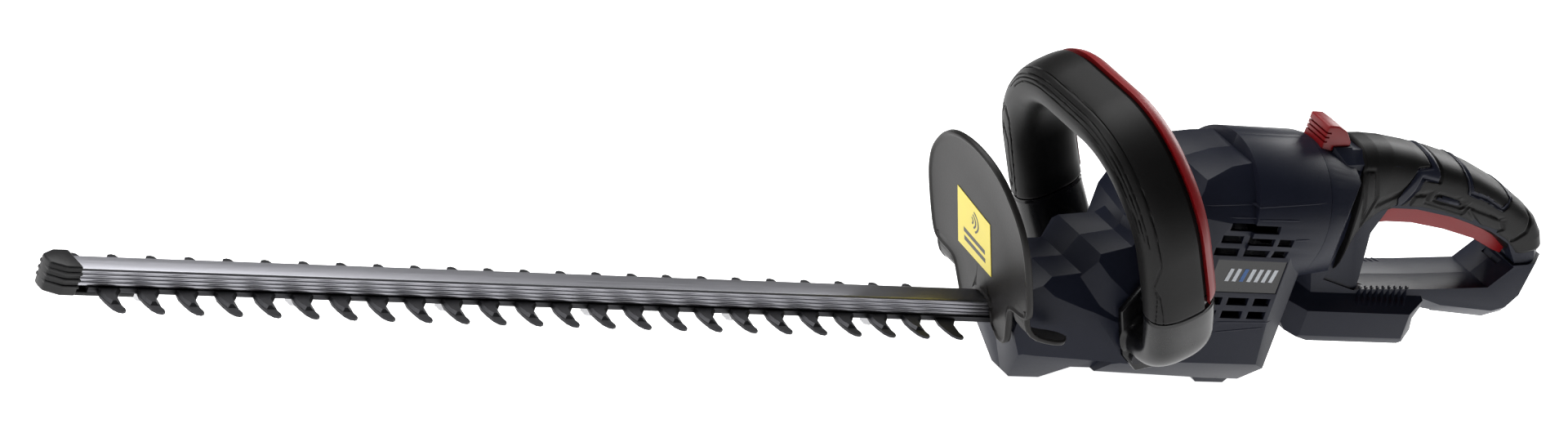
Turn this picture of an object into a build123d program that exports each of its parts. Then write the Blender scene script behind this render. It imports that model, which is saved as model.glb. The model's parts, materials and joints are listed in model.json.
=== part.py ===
"""Cordless hedge trimmer with a turning rear handle, as separate pieces.

Frame: +Z up, the blade points along -X, the operator stands at +X.  The origin is on the
resting surface, under the middle of the front foot, on the centre plane.
"""
from build123d import *
from math import cos, pi, radians, sin
import os

os.makedirs("parts", exist_ok=True)

# ---------------------------------------------------------------- driving dimensions (mm)
# cutting gear
TOOTH_PITCH = 22.0
LONG_TEETH = 24
LAST_TOOTH_X = -69.0
BLADE_T = 1.3
BLADE_GAP = 0.1
BLADE_Z = 32.0
COMB_HALF = 8.5
LONG_REACH = 29.0
SHORT_REACH = 22.5
TOOTH_TIP_W = 7.0
TOOTH_ROOT_W = 12.4
TOOTH_LEAN = 1.7
HALF_STROKE = 5.5
TAIL_HALF = 12.5
RUN_FIT = 0.05
FREE_FIT = 0.3

# guide bar and its bolts
BAR_W = 14.2
BAR_H = 9.0
BAR_END_X = -12.0
BAR_LEAD = 14.0
SLOT_NECK_W = 6.4
SLOT_NECK_H = 2.5
SLOT_HEAD_W = 10.4
SLOT_HEAD_H = 3.3
BOLT_D = 6.0
BOLT_THREAD_D = 5.0
BOLT_FIRST = 27.0
BOLT_PITCH_TEETH = 4
NUT_AF = 8.0
NUT_H = 4.7
WASHER_D = 12.0
WASHER_T = 1.0

# tip cap
CAP_L = 17.0
CAP_W = 20.0
CAP_TOP = 2.2
CAP_TONGUE_T = 2.1

# gear train
GEAR_X = 39.0
MODULE = 0.8
GEAR_TEETH = 64
PINION_TEETH = 10
GEAR_T = 7.0
SHAFT_D = 6.0
ECCENTRIC_R = 9.5
ROD_T = 3.2
ROD_LENGTH = 36.0
ROD_WALL = 3.0
PIN_D = 5.0
BEARING_D = 19.0
BEARING_H = 6.0
CASE_R = 29.4
CASE_BASE_Z = 18.0
CASE_FLANGE_T = 6.0
CASE_SHOULDER_Z = 47.2
CASE_DECK_Z = 50.0
CASE_TOP_Z = 56.0
CASE_SCREW_D = 3.4

# motor
MOTOR_R = 18.5
MOTOR_L = 50.0
MOTOR_WALL = 1.5
MOTOR_SHAFT_D = 3.2
ROTOR_R = 11.8
CORE_L = 33.0

# housing
WALL = 2.5
REAR_X = 139.3
COLLAR_R = 40.2
COLLAR_Z = 106.1
COLLAR_FRONT_X = 90.0
REAR_WALL = 6.0
BODY_HALF = 38.0
FOOT_HALF = 8.5
BOSS_R = 4.2
SHELL_SCREW_D = 3.4

# turning joint between the housing and the rear handle
HUB_R = 26.0
HUB_FLANGE_R = 31.0
HUB_FLANGE_T = 4.0
TURN_GAP = 0.4

# hand guard
GUARD_BASE_X = -31.5
GUARD_BASE_Z = 30.0
GUARD_LEAN = 25.0
GUARD_T = 4.0
GUARD_LUG_Y = 13.5
GUARD_LUG_Z = 53.5
GUARD_SCREW_D = 3.4

# front loop handle
LOOP_X = 50.0
LOOP_Z = 48.0
LOOP_LEAN = 29.0
LOOP_HALF = 67.0
LOOP_TOP = 128.0
LOOP_DEPTH = 20.0
LOOP_THICK = 12.0
GRIP_SKIN = 2.5
LOOP_WALL = 2.5
BAIL_W = 9.0
BAIL_T = 5.0
BAIL_TRAVEL = 3.0
FOOT_PLATE_Y = 33.0
FOOT_PLATE_T = 4.0

# rear handle
GRIP_HALF = 17.5
BRIDGE_HALF = 11.0
DOCK_HALF = 28.0
TRIGGER_HALF = 7.0
RAIL_GAP_HALF = 21.0

# ---------------------------------------------------------------- derived places
SHORT_TEETH = LONG_TEETH - 1
FIRST_TOOTH_X = LAST_TOOTH_X - TOOTH_PITCH * (LONG_TEETH - 1)
UPPER_Z = BLADE_Z + BLADE_T + BLADE_GAP
BAR_Z = UPPER_Z + BLADE_T + BLADE_GAP
BAR_TIP_X = FIRST_TOOTH_X - BAR_LEAD
BLADE_TIP_X = BAR_TIP_X + HALF_STROKE + 0.5
BOLT_PITCH = BOLT_PITCH_TEETH * TOOTH_PITCH
BOLT_COUNT = int((LAST_TOOTH_X - FIRST_TOOTH_X - BOLT_FIRST) // BOLT_PITCH) + 1
BOLT_XS = [FIRST_TOOTH_X + BOLT_FIRST + BOLT_PITCH * k for k in range(BOLT_COUNT)]
WASHER_Z = BLADE_Z - BLADE_GAP - WASHER_T
NUT_Z = WASHER_Z - NUT_H
PIN_X = GEAR_X - ROD_LENGTH
WINDOW_HALF_X = 2 * HALF_STROKE + PIN_D / 2 + FREE_FIT
WINDOW_HALF_Y = HALF_STROKE + PIN_D / 2 + FREE_FIT
LOWER_ROD_Z = BLADE_Z - FREE_FIT - ROD_T
UPPER_ROD_Z = BAR_Z + FREE_FIT - BLADE_GAP
GEAR_Z = UPPER_ROD_Z + ROD_T + 0.8
GEAR_R = MODULE * GEAR_TEETH / 2
PINION_R = MODULE * PINION_TEETH / 2
MOTOR_X = GEAR_X + GEAR_R + PINION_R
CASE_SPLIT_Z = BLADE_Z - BLADE_GAP
LOWER_BEARING_Z = CASE_BASE_Z + 2.0
UPPER_BEARING_Z = CASE_TOP_Z - 2.0 - BEARING_H
MOTOR_Z = CASE_TOP_Z
MOTOR_TOP_Z = MOTOR_Z + MOTOR_L
CORE_Z = MOTOR_Z + 8.0


def save(name, part):
    """Label a finished piece and write it to its own file."""
    part.label = name
    export_step(part, f"parts/{name}.step")


def prism(points, half_width, inset=0.0, plane=Plane.XZ, rounding=0.0):
    """A closed outline pulled to both sides of its plane, drawn in by an inset."""
    with BuildPart() as solid:
        with BuildSketch(plane):
            with BuildLine():
                Polyline(*points, close=True)
            make_face()
            if rounding:
                fillet(vertices(), rounding)
            if inset:
                offset(amount=-inset, kind=Kind.INTERSECTION)
        extrude(amount=half_width - inset, both=True)
    return solid.part


def mirrored(half):
    """A closed outline from its right half, which runs from the bottom to the top."""
    return list(half) + [(-u, v) for u, v in reversed(half) if u > 0]


def common(side, plan_half, front_half, inset=0.0):
    """The body that fits a side view (x, z), a plan view (y, x) and a front view (y, z)."""
    reach = 400.0
    side_body = prism(side, reach, inset)
    plan_plane = Plane(origin=(0, 0, 0), x_dir=(0, 1, 0), z_dir=(0, 0, -1))
    plan_body = prism(mirrored(plan_half), reach, inset, plan_plane)
    front_body = prism(mirrored(front_half), reach, inset, Plane.YZ)
    with BuildPart() as body:
        add(side_body)
        add(plan_body, mode=Mode.INTERSECT)
        add(front_body, mode=Mode.INTERSECT)
    return body.part


# ================================================================ guide bar
with BuildPart() as guide_bar:
    with BuildSketch(Plane.YZ.offset(BAR_TIP_X)):
        with Locations((0, BAR_Z + BAR_H / 2)):
            Rectangle(BAR_W, BAR_H)
        chamfer(vertices().group_by(Axis.Y)[-1], 0.8)
        with Locations((0, BAR_Z + SLOT_NECK_H / 2)):
            Rectangle(SLOT_NECK_W, SLOT_NECK_H, mode=Mode.SUBTRACT)
        with Locations((0, BAR_Z + SLOT_NECK_H + SLOT_HEAD_H / 2)):
            Rectangle(SLOT_HEAD_W, SLOT_HEAD_H, mode=Mode.SUBTRACT)
        for side in (-1, 1):
            for row in range(3):
                with Locations((side * BAR_W / 2, BAR_Z + 2.4 + 2.1 * row)):
                    Rectangle(1.2, 0.9, mode=Mode.SUBTRACT)
    extrude(amount=BAR_END_X - BAR_TIP_X)
save("guide_bar", guide_bar.part)


# ================================================================ blades
def blade(z, teeth, reach):
    """A flat double-sided blade with teeth, bolt slots and the window for its drive pin."""
    with BuildPart() as plate:
        with BuildSketch(Plane.XY.offset(z)):
            comb_length = 60.0 + LAST_TOOTH_X - BLADE_TIP_X
            with Locations((BLADE_TIP_X + comb_length / 2, 0)):
                Rectangle(comb_length, 2 * COMB_HALF)
            tail_end = PIN_X + WINDOW_HALF_X + 3.5
            tail_start = -16.0
            with Locations(((tail_start + tail_end) / 2, 0)):
                Rectangle(tail_end - tail_start, 2 * TAIL_HALF)
            for n in range(teeth):
                x = FIRST_TOOTH_X + TOOTH_PITCH * n
                front = x - TOOTH_TIP_W / 2
                root = front + TOOTH_LEAN
                for side in (-1, 1):
                    with BuildLine():
                        Polyline(
                            (root, side * (COMB_HALF - 1)),
                            (front, side * (reach - 2)),
                            (front + 1.5, side * reach),
                            (front + TOOTH_TIP_W - 1.5, side * reach),
                            (front + TOOTH_TIP_W, side * (reach - 2)),
                            (root + TOOTH_ROOT_W, side * (COMB_HALF - 1)),
                            close=True,
                        )
                    make_face()
            with Locations(*[(x, 0) for x in BOLT_XS]):
                SlotCenterToCenter(2 * HALF_STROKE, BOLT_D + 2 * RUN_FIT, mode=Mode.SUBTRACT)
            with Locations((PIN_X, 0)):
                Rectangle(2 * WINDOW_HALF_X, 2 * WINDOW_HALF_Y, mode=Mode.SUBTRACT)
        extrude(amount=BLADE_T)
    return plate.part


save("lower_blade", blade(BLADE_Z, LONG_TEETH, LONG_REACH))
save("upper_blade", blade(UPPER_Z, SHORT_TEETH, SHORT_REACH))

# ================================================================ blade bolts, washers, nuts
with BuildPart() as blade_bolts:
    for x in BOLT_XS:
        head_z = BAR_Z + SLOT_NECK_H
        with Locations((x, 0, head_z + 1.5)):
            Box(10.0, SLOT_HEAD_W - 0.2, 3.0)
        shoulder = head_z - (WASHER_Z + WASHER_T)
        with Locations((x, 0, head_z - shoulder / 2)):
            Cylinder(BOLT_D / 2, shoulder)
        thread = WASHER_Z + WASHER_T - (NUT_Z - 1.5)
        with Locations((x, 0, NUT_Z - 1.5 + thread / 2)):
            Cylinder(BOLT_THREAD_D / 2, thread)
save("blade_bolts", blade_bolts.part)

with BuildPart() as blade_washers:
    for x in BOLT_XS:
        with Locations((x, 0, WASHER_Z + WASHER_T / 2)):
            Cylinder(WASHER_D / 2, WASHER_T)
            Cylinder(BOLT_THREAD_D / 2, WASHER_T, mode=Mode.SUBTRACT)
save("blade_washers", blade_washers.part)

with BuildPart() as blade_nuts:
    for x in BOLT_XS:
        with BuildSketch(Plane.XY.offset(NUT_Z)):
            with Locations((x, 0)):
                RegularPolygon(NUT_AF / 2, 6, major_radius=False)
                Circle(BOLT_THREAD_D / 2, mode=Mode.SUBTRACT)
        extrude(amount=NUT_H)
save("blade_nuts", blade_nuts.part)

# ================================================================ tip cap
cap_bottom = BLADE_Z - 0.3 - CAP_TONGUE_T
with BuildPart() as tip_cap:
    with BuildSketch(Plane.XY.offset(cap_bottom)):
        with Locations((BAR_TIP_X - CAP_L / 2, 0)):
            Rectangle(CAP_L, CAP_W)
        chamfer(vertices().group_by(Axis.X)[0], 5.5)
    extrude(amount=BAR_Z + BAR_H + CAP_TOP - cap_bottom)
    chamfer(faces().sort_by(Axis.Z)[-1].edges(), 1.5)
    tongue_l = BOLT_XS[0] - WASHER_D / 2 - 2.0 - BAR_TIP_X
    with Locations((BAR_TIP_X + tongue_l / 2, 0, cap_bottom + CAP_TONGUE_T / 2)):
        Box(tongue_l, 2 * COMB_HALF - 1, CAP_TONGUE_T)
    plug_l = BOLT_XS[0] - 8.0 - BAR_TIP_X
    with Locations((BAR_TIP_X + plug_l / 2, 0, BAR_Z + SLOT_NECK_H + SLOT_HEAD_H / 2)):
        Box(plug_l, SLOT_HEAD_W - 0.2, SLOT_HEAD_H - 0.2)
save("tip_cap", tip_cap.part)

# ================================================================ gear case
NOSE_X = -24.0
NOSE_HALF = 17.0
CASE_LUGS = [(-8.0, 17.0), (-8.0, -17.0), (61.6, 22.6), (61.6, -22.6)]
LUG_R = 4.6
POCKET_R = ECCENTRIC_R + ROD_WALL + HALF_STROKE + 0.6
POCKET_HALF = HALF_STROKE + PIN_D / 2 + ROD_WALL + 0.5
pocket_front = PIN_X - HALF_STROKE - PIN_D / 2 - ROD_WALL - 0.5


def rod_pocket():
    """Sketch of the room that one connecting rod sweeps."""
    with BuildSketch(mode=Mode.PRIVATE) as pocket:
        with Locations(((pocket_front + GEAR_X) / 2, 0)):
            Rectangle(GEAR_X - pocket_front, 2 * POCKET_HALF)
        with Locations((GEAR_X, 0)):
            Circle(POCKET_R)
    return pocket.sketch


rod_room = rod_pocket()
with BuildPart() as gear_case_base:
    with BuildSketch(Plane.XY.offset(CASE_SPLIT_Z - CASE_FLANGE_T)):
        base_nose = -13.0
        with Locations(((base_nose + GEAR_X) / 2, 0)):
            Rectangle(GEAR_X - base_nose, 2 * NOSE_HALF)
        with Locations((GEAR_X, 0)):
            Circle(CASE_R)
        with Locations(*CASE_LUGS):
            Circle(LUG_R)
    extrude(amount=CASE_FLANGE_T)
    with Locations((GEAR_X, 0, CASE_BASE_Z)):
        Cylinder(BEARING_D / 2 + 4.0, CASE_FLANGE_T + 4.0, align=(Align.CENTER, Align.CENTER, Align.MIN))
    with BuildSketch(Plane.XY.offset(CASE_SPLIT_Z)):
        add(rod_room)
    extrude(amount=-(CASE_SPLIT_Z - LOWER_ROD_Z + 0.4), mode=Mode.SUBTRACT)
    with Locations((GEAR_X, 0, LOWER_BEARING_Z)):
        Cylinder(
            BEARING_D / 2, CASE_SPLIT_Z, align=(Align.CENTER, Align.CENTER, Align.MIN),
            mode=Mode.SUBTRACT,
        )
    with Locations(*[(x, y, CASE_SPLIT_Z) for x, y in CASE_LUGS]):
        Cylinder(CASE_SCREW_D / 2, 10.0, align=(Align.CENTER, Align.CENTER, Align.MAX), mode=Mode.SUBTRACT)
save("gear_case_base", gear_case_base.part)

with BuildPart() as gear_case_cover:
    with BuildSketch(Plane.XY.offset(CASE_SPLIT_Z)):
        with Locations(((NOSE_X + GEAR_X) / 2, 0)):
            Rectangle(GEAR_X - NOSE_X, 2 * NOSE_HALF)
        with Locations((GEAR_X, 0)):
            Circle(CASE_R)
        with Locations(*CASE_LUGS):
            Circle(LUG_R)
    extrude(amount=CASE_SHOULDER_Z - CASE_SPLIT_Z)
    with BuildSketch(Plane.XY.offset(CASE_SHOULDER_Z)):
        with Locations(((NOSE_X + GEAR_X) / 2, 0)):
            Rectangle(GEAR_X - NOSE_X, 2 * TAIL_HALF)
        with Locations((GEAR_X, 0)):
            Circle(CASE_R - 2.4)
    extrude(amount=CASE_DECK_Z - CASE_SHOULDER_Z)
    with BuildSketch(Plane.XY.offset(CASE_SPLIT_Z + 6)):
        with Locations((GEAR_X, 0)):
            Circle(BEARING_D / 2 + 3)
        with Locations((MOTOR_X, 0)):
            Circle(9.0)
    extrude(amount=CASE_TOP_Z - CASE_SPLIT_Z - 6)
    with BuildSketch(Plane.XY.offset(CASE_TOP_Z)):
        with Locations((MOTOR_X, 0)):
            Circle(MOTOR_R)
    extrude(amount=-4.0)
    with BuildSketch(Plane.XY.offset(CASE_SPLIT_Z)):
        with Locations(((NOSE_X + GEAR_X) / 2, 0)):
            Rectangle(GEAR_X - NOSE_X, 2 * TAIL_HALF + 0.6)
    extrude(amount=BAR_Z - CASE_SPLIT_Z, mode=Mode.SUBTRACT)
    with BuildSketch(Plane.XY.offset(CASE_SPLIT_Z)):
        add(rod_room)
    extrude(amount=GEAR_Z - CASE_SPLIT_Z, mode=Mode.SUBTRACT)
    with BuildSketch(Plane.XY.offset(CASE_SPLIT_Z)):
        with Locations((GEAR_X, 0)):
            Circle(GEAR_R + 1.6)
    extrude(amount=GEAR_Z + GEAR_T + 1.0 - CASE_SPLIT_Z, mode=Mode.SUBTRACT)
    with Locations((GEAR_X, 0, UPPER_BEARING_Z - 4)):
        Cylinder(
            BEARING_D / 2, BEARING_H + 4, align=(Align.CENTER, Align.CENTER, Align.MIN),
            mode=Mode.SUBTRACT,
        )
    with Locations((MOTOR_X, 0, GEAR_Z - 1)):
        Cylinder(6.4, CASE_TOP_Z, align=(Align.CENTER, Align.CENTER, Align.MIN), mode=Mode.SUBTRACT)
    with Locations(((NOSE_X + BAR_END_X) / 2, 0, BAR_Z + BAR_H / 2)):
        Box(BAR_END_X - NOSE_X, BAR_W, BAR_H, mode=Mode.SUBTRACT)
    with Locations(*[(x, y, CASE_SPLIT_Z) for x, y in CASE_LUGS]):
        Cylinder(CASE_SCREW_D / 2, 60.0, mode=Mode.SUBTRACT)
    with Locations(*[(MOTOR_X, side * 12.5, CASE_TOP_Z) for side in (-1, 1)]):
        Cylinder(1.6, 20.0, mode=Mode.SUBTRACT)
    with Locations((NOSE_X + 8.0, 0, CASE_DECK_Z)):
        Cylinder(2.1, 2 * (CASE_DECK_Z - BAR_Z - BAR_H), mode=Mode.SUBTRACT)
save("gear_case_cover", gear_case_cover.part)

with BuildPart() as gear_case_screws:
    for x, y in CASE_LUGS:
        with Locations((x, y, CASE_SHOULDER_Z)):
            Cylinder(3.0, 2.6, align=(Align.CENTER, Align.CENTER, Align.MIN))
            Cylinder(CASE_SCREW_D / 2 - RUN_FIT, 20.0, align=(Align.CENTER, Align.CENTER, Align.MAX))
save("gear_case_screws", gear_case_screws.part)

with BuildPart() as bar_screw:
    with Locations((NOSE_X + 8.0, 0, CASE_DECK_Z)):
        Cylinder(3.6, 2.8, align=(Align.CENTER, Align.CENTER, Align.MIN))
        Cylinder(2.0, CASE_DECK_Z - BAR_Z - BAR_H, align=(Align.CENTER, Align.CENTER, Align.MAX))
save("bar_screw", bar_screw.part)


# ================================================================ gear train
def spur_gear(teeth, z, thickness, bore, x, turn=0.0):
    """A straight-toothed gear with trapezoid teeth, thinner than their gaps."""
    pitch_r = MODULE * teeth / 2
    step = 2 * pi / teeth
    with BuildPart() as wheel:
        with BuildSketch(Plane.XY.offset(z)):
            with Locations((x, 0)):
                Circle(pitch_r - 1.2 * MODULE)
            for n in range(teeth):
                corners = []
                for r, width in ((-1.4, 0.56), (0.0, 0.40), (0.85, 0.20)):
                    radius = pitch_r + r * MODULE
                    half = width * step / 2 * pitch_r / radius
                    corners.append((radius, half))
                outline = [(r, -h) for r, h in corners] + [(r, h) for r, h in reversed(corners)]
                middle = n * step + turn
                with BuildLine():
                    Polyline(
                        *[(x + r * cos(middle + h), r * sin(middle + h)) for r, h in outline],
                        close=True,
                    )
                make_face()
            with Locations((x, 0)):
                Circle(bore / 2, mode=Mode.SUBTRACT)
        extrude(amount=thickness)
    return wheel.part


gear_blank = spur_gear(GEAR_TEETH, GEAR_Z, GEAR_T, SHAFT_D, GEAR_X)
with BuildPart() as drive_gear:
    add(gear_blank)
    with BuildSketch(Plane.XY.offset(GEAR_Z + GEAR_T)):
        with Locations((GEAR_X, 0)):
            with PolarLocations(GEAR_R * 0.58, 6):
                Circle(4.5)
    extrude(amount=-GEAR_T, mode=Mode.SUBTRACT)
save("drive_gear", drive_gear.part)

save(
    "pinion",
    spur_gear(PINION_TEETH, GEAR_Z, GEAR_T + 1.0, MOTOR_SHAFT_D, MOTOR_X, pi / PINION_TEETH + pi),
)

with BuildPart() as crankshaft:
    with Locations((GEAR_X, 0, LOWER_BEARING_Z)):
        Cylinder(
            SHAFT_D / 2, UPPER_BEARING_Z + BEARING_H - LOWER_BEARING_Z,
            align=(Align.CENTER, Align.CENTER, Align.MIN),
        )
    with Locations((GEAR_X, HALF_STROKE, UPPER_ROD_Z), (GEAR_X, -HALF_STROKE, LOWER_ROD_Z)):
        Cylinder(ECCENTRIC_R, ROD_T, align=(Align.CENTER, Align.CENTER, Align.MIN))
save("crankshaft", crankshaft.part)


def connecting_rod(z, side, pin_bottom, pin_top):
    """A ring that runs on one eccentric, a bar, and the pin that drives one blade."""
    centre = (GEAR_X, side * HALF_STROKE)
    small_end = (PIN_X, side * HALF_STROKE)
    with BuildPart() as rod:
        with BuildSketch(Plane.XY.offset(z)):
            with Locations(centre):
                Circle(ECCENTRIC_R + ROD_WALL)
            with Locations(small_end):
                Circle(PIN_D / 2 + ROD_WALL)
            with Locations(((centre[0] + small_end[0]) / 2, centre[1])):
                Rectangle(ROD_LENGTH, 8.0)
            with Locations(centre):
                Circle(ECCENTRIC_R + RUN_FIT, mode=Mode.SUBTRACT)
        extrude(amount=ROD_T)
        with Locations((small_end[0], small_end[1], pin_bottom)):
            Cylinder(PIN_D / 2, pin_top - pin_bottom, align=(Align.CENTER, Align.CENTER, Align.MIN))
    return rod.part


save("upper_rod", connecting_rod(UPPER_ROD_Z, 1, UPPER_Z, UPPER_ROD_Z + ROD_T))
save("lower_rod", connecting_rod(LOWER_ROD_Z, -1, LOWER_ROD_Z, BLADE_Z + BLADE_T))

with BuildPart() as shaft_bearings:
    with Locations((GEAR_X, 0, LOWER_BEARING_Z), (GEAR_X, 0, UPPER_BEARING_Z)):
        Cylinder(BEARING_D / 2, BEARING_H, align=(Align.CENTER, Align.CENTER, Align.MIN))
        Cylinder(
            SHAFT_D / 2 + RUN_FIT,
            BEARING_H,
            align=(Align.CENTER, Align.CENTER, Align.MIN),
            mode=Mode.SUBTRACT,
        )
save("shaft_bearings", shaft_bearings.part)

# ================================================================ motor
up = (Align.CENTER, Align.CENTER, Align.MIN)
BUSH_R = 4.0
BUSH_H = 4.0
BELL_T = 6.0
COMMUTATOR_R = 5.0
COMMUTATOR_Z = CORE_Z + CORE_L + 2.0
COMMUTATOR_H = 5.0
with BuildPart() as motor_can:
    with Locations((MOTOR_X, 0, MOTOR_Z)):
        Cylinder(MOTOR_R, MOTOR_L, align=up)
    with Locations((MOTOR_X, 0, MOTOR_Z + MOTOR_WALL)):
        Cylinder(MOTOR_R - MOTOR_WALL, MOTOR_L, align=up, mode=Mode.SUBTRACT)
    with Locations((MOTOR_X, 0, MOTOR_Z)):
        Cylinder(BUSH_R + 1.5, BUSH_H, align=up)
        Cylinder(BUSH_R, BUSH_H, align=up, mode=Mode.SUBTRACT)
    with Locations(*[(MOTOR_X, side * 12.5, MOTOR_Z) for side in (-1, 1)]):
        Cylinder(1.5, MOTOR_WALL, align=up, mode=Mode.SUBTRACT)
save("motor_can", motor_can.part)

with BuildPart() as motor_magnets:
    with Locations((MOTOR_X, 0, CORE_Z)):
        Cylinder(MOTOR_R - MOTOR_WALL, CORE_L, align=up)
        Cylinder(ROTOR_R + 0.8, CORE_L, align=up, mode=Mode.SUBTRACT)
        Box(60.0, 9.0, CORE_L, align=up, mode=Mode.SUBTRACT)
save("motor_magnets", motor_magnets.part)

with BuildPart() as motor_end_bell:
    with Locations((MOTOR_X, 0, MOTOR_TOP_Z)):
        Cylinder(MOTOR_R, BELL_T, align=up)
        Cylinder(BUSH_R, BUSH_H, align=up, mode=Mode.SUBTRACT)
        Cylinder(MOTOR_SHAFT_D / 2 + 0.5, BELL_T, align=up, mode=Mode.SUBTRACT)
save("motor_end_bell", motor_end_bell.part)

with BuildPart() as motor_bushes:
    with Locations((MOTOR_X, 0, MOTOR_Z), (MOTOR_X, 0, MOTOR_TOP_Z)):
        Cylinder(BUSH_R, BUSH_H, align=up)
        Cylinder(MOTOR_SHAFT_D / 2 + RUN_FIT, BUSH_H, align=up, mode=Mode.SUBTRACT)
save("motor_bushes", motor_bushes.part)

with BuildPart() as rotor:
    with Locations((MOTOR_X, 0, GEAR_Z)):
        Cylinder(MOTOR_SHAFT_D / 2, MOTOR_TOP_Z + BUSH_H - GEAR_Z, align=up)
    with BuildSketch(Plane.XY.offset(CORE_Z)):
        with Locations((MOTOR_X, 0)):
            Circle(ROTOR_R)
            with PolarLocations(ROTOR_R - 2.5, 5):
                SlotCenterToCenter(4.0, 1.6, mode=Mode.SUBTRACT)
                Rectangle(6.0, 1.0, mode=Mode.SUBTRACT)
    extrude(amount=CORE_L)
    with Locations((MOTOR_X, 0, COMMUTATOR_Z)):
        Cylinder(COMMUTATOR_R, COMMUTATOR_H, align=up)
save("rotor", rotor.part)

with BuildPart() as motor_brushes:
    brush_l = 7.0
    for side in (-1, 1):
        with Locations((
            MOTOR_X, side * (COMMUTATOR_R + 0.1 + brush_l / 2), COMMUTATOR_Z + COMMUTATOR_H / 2
        )):
            Box(4.0, brush_l, COMMUTATOR_H - 1.0)
save("motor_brushes", motor_brushes.part)

with BuildPart() as motor_screws:
    for side in (-1, 1):
        with Locations((MOTOR_X, side * 12.5, CASE_TOP_Z - 4.0)):
            Cylinder(1.45, 4.0 + MOTOR_WALL, align=up)
            Cylinder(2.6, 1.8, align=(Align.CENTER, Align.CENTER, Align.MAX))
save("motor_screws", motor_screws.part)

# ================================================================ housing
# Outlines of the three bodies that make the outside: the low nose over the gear case,
# the step behind it, and the tall body around the motor.  Side views are (x, z), plan
# halves are (y, x) and front halves are (y, z).
NOSE_SIDE = [
    (-28.0, 33.0), (-10.0, 0.0), (10.0, 0.0), (22.0, 11.0), (60.0, 11.0),
    (60.0, 68.0), (10.0, 70.0), (-16.0, 67.0), (-28.0, 58.0),
]
NOSE_PLAN = [
    (0.0, -28.0), (21.0, -28.0), (26.0, -14.0), (30.0, 12.0), (36.0, 41.0), (36.0, 60.0), (0.0, 60.0),
]
NOSE_FRONT = [
    (0.0, 0.0), (FOOT_HALF, 0.0), (24.0, 22.0), (37.0, 25.0), (36.0, 44.0), (29.0, 53.0), (19.0, 70.0),
    (0.0, 70.0),
]
STEP_SIDE = [
    (-2.0, 58.0), (10.0, 82.0), (31.0, 86.0), (44.0, 101.0), (60.0, 101.0), (60.0, 50.0), (6.0, 50.0),
]
STEP_PLAN = [(0.0, -2.0), (20.0, 2.0), (28.0, 16.0), (35.0, 38.0), (36.0, 60.0), (0.0, 60.0)]
STEP_FRONT = [
    (0.0, 40.0), (36.0, 40.0), (33.0, 62.0), (28.0, 72.0), (19.0, 86.0), (14.0, 101.0), (0.0, 101.0),
]
BODY_SIDE = [
    (34.0, 11.0), (103.0, 7.0), (REAR_X, 4.0), (REAR_X, 139.0), (91.0, 139.0),
    (76.0, 137.0), (58.0, 131.0), (34.0, 95.0),
]
BODY_PLAN = [
    (0.0, 34.0), (30.0, 36.0), (37.0, 56.0), (BODY_HALF, 74.0), (BODY_HALF, 123.0), (30.5, REAR_X),
    (0.0, REAR_X),
]
BODY_FRONT = [
    (0.0, 4.0), (15.0, 6.0), (35.0, 26.0), (BODY_HALF, 56.0), (BODY_HALF, 112.0),
    (30.0, 127.0), (19.0, 139.0), (0.0, 139.0),
]
HEEL_SIDE = [(102.0, 12.0), (117.0, 0.0), (136.0, 0.0), (REAR_X, 8.0), (REAR_X, 40.0), (102.0, 40.0)]
HEEL_PLAN = [(0.0, 102.0), (13.0, 102.0), (13.0, REAR_X), (0.0, REAR_X)]
HEEL_FRONT = [(0.0, 0.0), (FOOT_HALF, 0.0), (13.0, 12.0), (13.0, 40.0), (0.0, 40.0)]


def housing_form(inset):
    """The outside of the housing, or its inside when it is drawn in by the wall."""
    rear = REAR_X - (REAR_WALL if inset else 0.0)
    pieces = [
        common(NOSE_SIDE, NOSE_PLAN, NOSE_FRONT, inset),
        common(STEP_SIDE, STEP_PLAN, STEP_FRONT, inset),
        common(BODY_SIDE, BODY_PLAN, BODY_FRONT, inset),
        common(HEEL_SIDE, HEEL_PLAN, HEEL_FRONT, inset),
    ]
    with BuildPart() as form:
        for piece in pieces:
            add(piece)
        with BuildSketch(Plane.YZ.offset(COLLAR_FRONT_X + inset)):
            with Locations((0, COLLAR_Z)):
                Circle(COLLAR_R - inset)
        extrude(amount=rear - COLLAR_FRONT_X - inset)
        if inset:
            with Locations((REAR_X, 0, COLLAR_Z)):
                Box(2 * REAR_WALL, 200.0, 400.0, mode=Mode.SUBTRACT)
    return form.part


# places of the posts that the shell screws pass through, as (x, z)
SHELL_POSTS = [(-14.0, 60.5), (24.0, 74.0), (72.0, 127.5), (86.0, 20.0), (121.0, 30.0), (1.0, 9.0)]
outside = housing_form(0.0)
inside = housing_form(WALL)

# vent slots: (first x, last x, z) of each slot on the left and right walls
VENT_H = 4.6
UPPER_VENTS = [(75.0, 107.0, 110.0), (72.0, 86.0, 102.5), (90.0, 106.0, 102.5), (109.0, 119.0, 102.5),
               (70.0, 86.0, 95.0), (90.0, 106.0, 95.0), (109.0, 119.0, 95.0)]
LOWER_VENTS = [(78.0, 87.0, 65.5), (91.0, 105.0, 65.5), (109.0, 120.0, 65.5),
               (79.0, 86.0, 57.5), (90.0, 104.0, 57.5), (108.0, 120.0, 57.5)]
VENTS = UPPER_VENTS + LOWER_VENTS
BADGE_X = (75.0, 122.0)
BADGE_Z = (71.0, 90.0)
BADGE_T = 1.2
BADGE_FLOOR = BODY_HALF - BADGE_T

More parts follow.
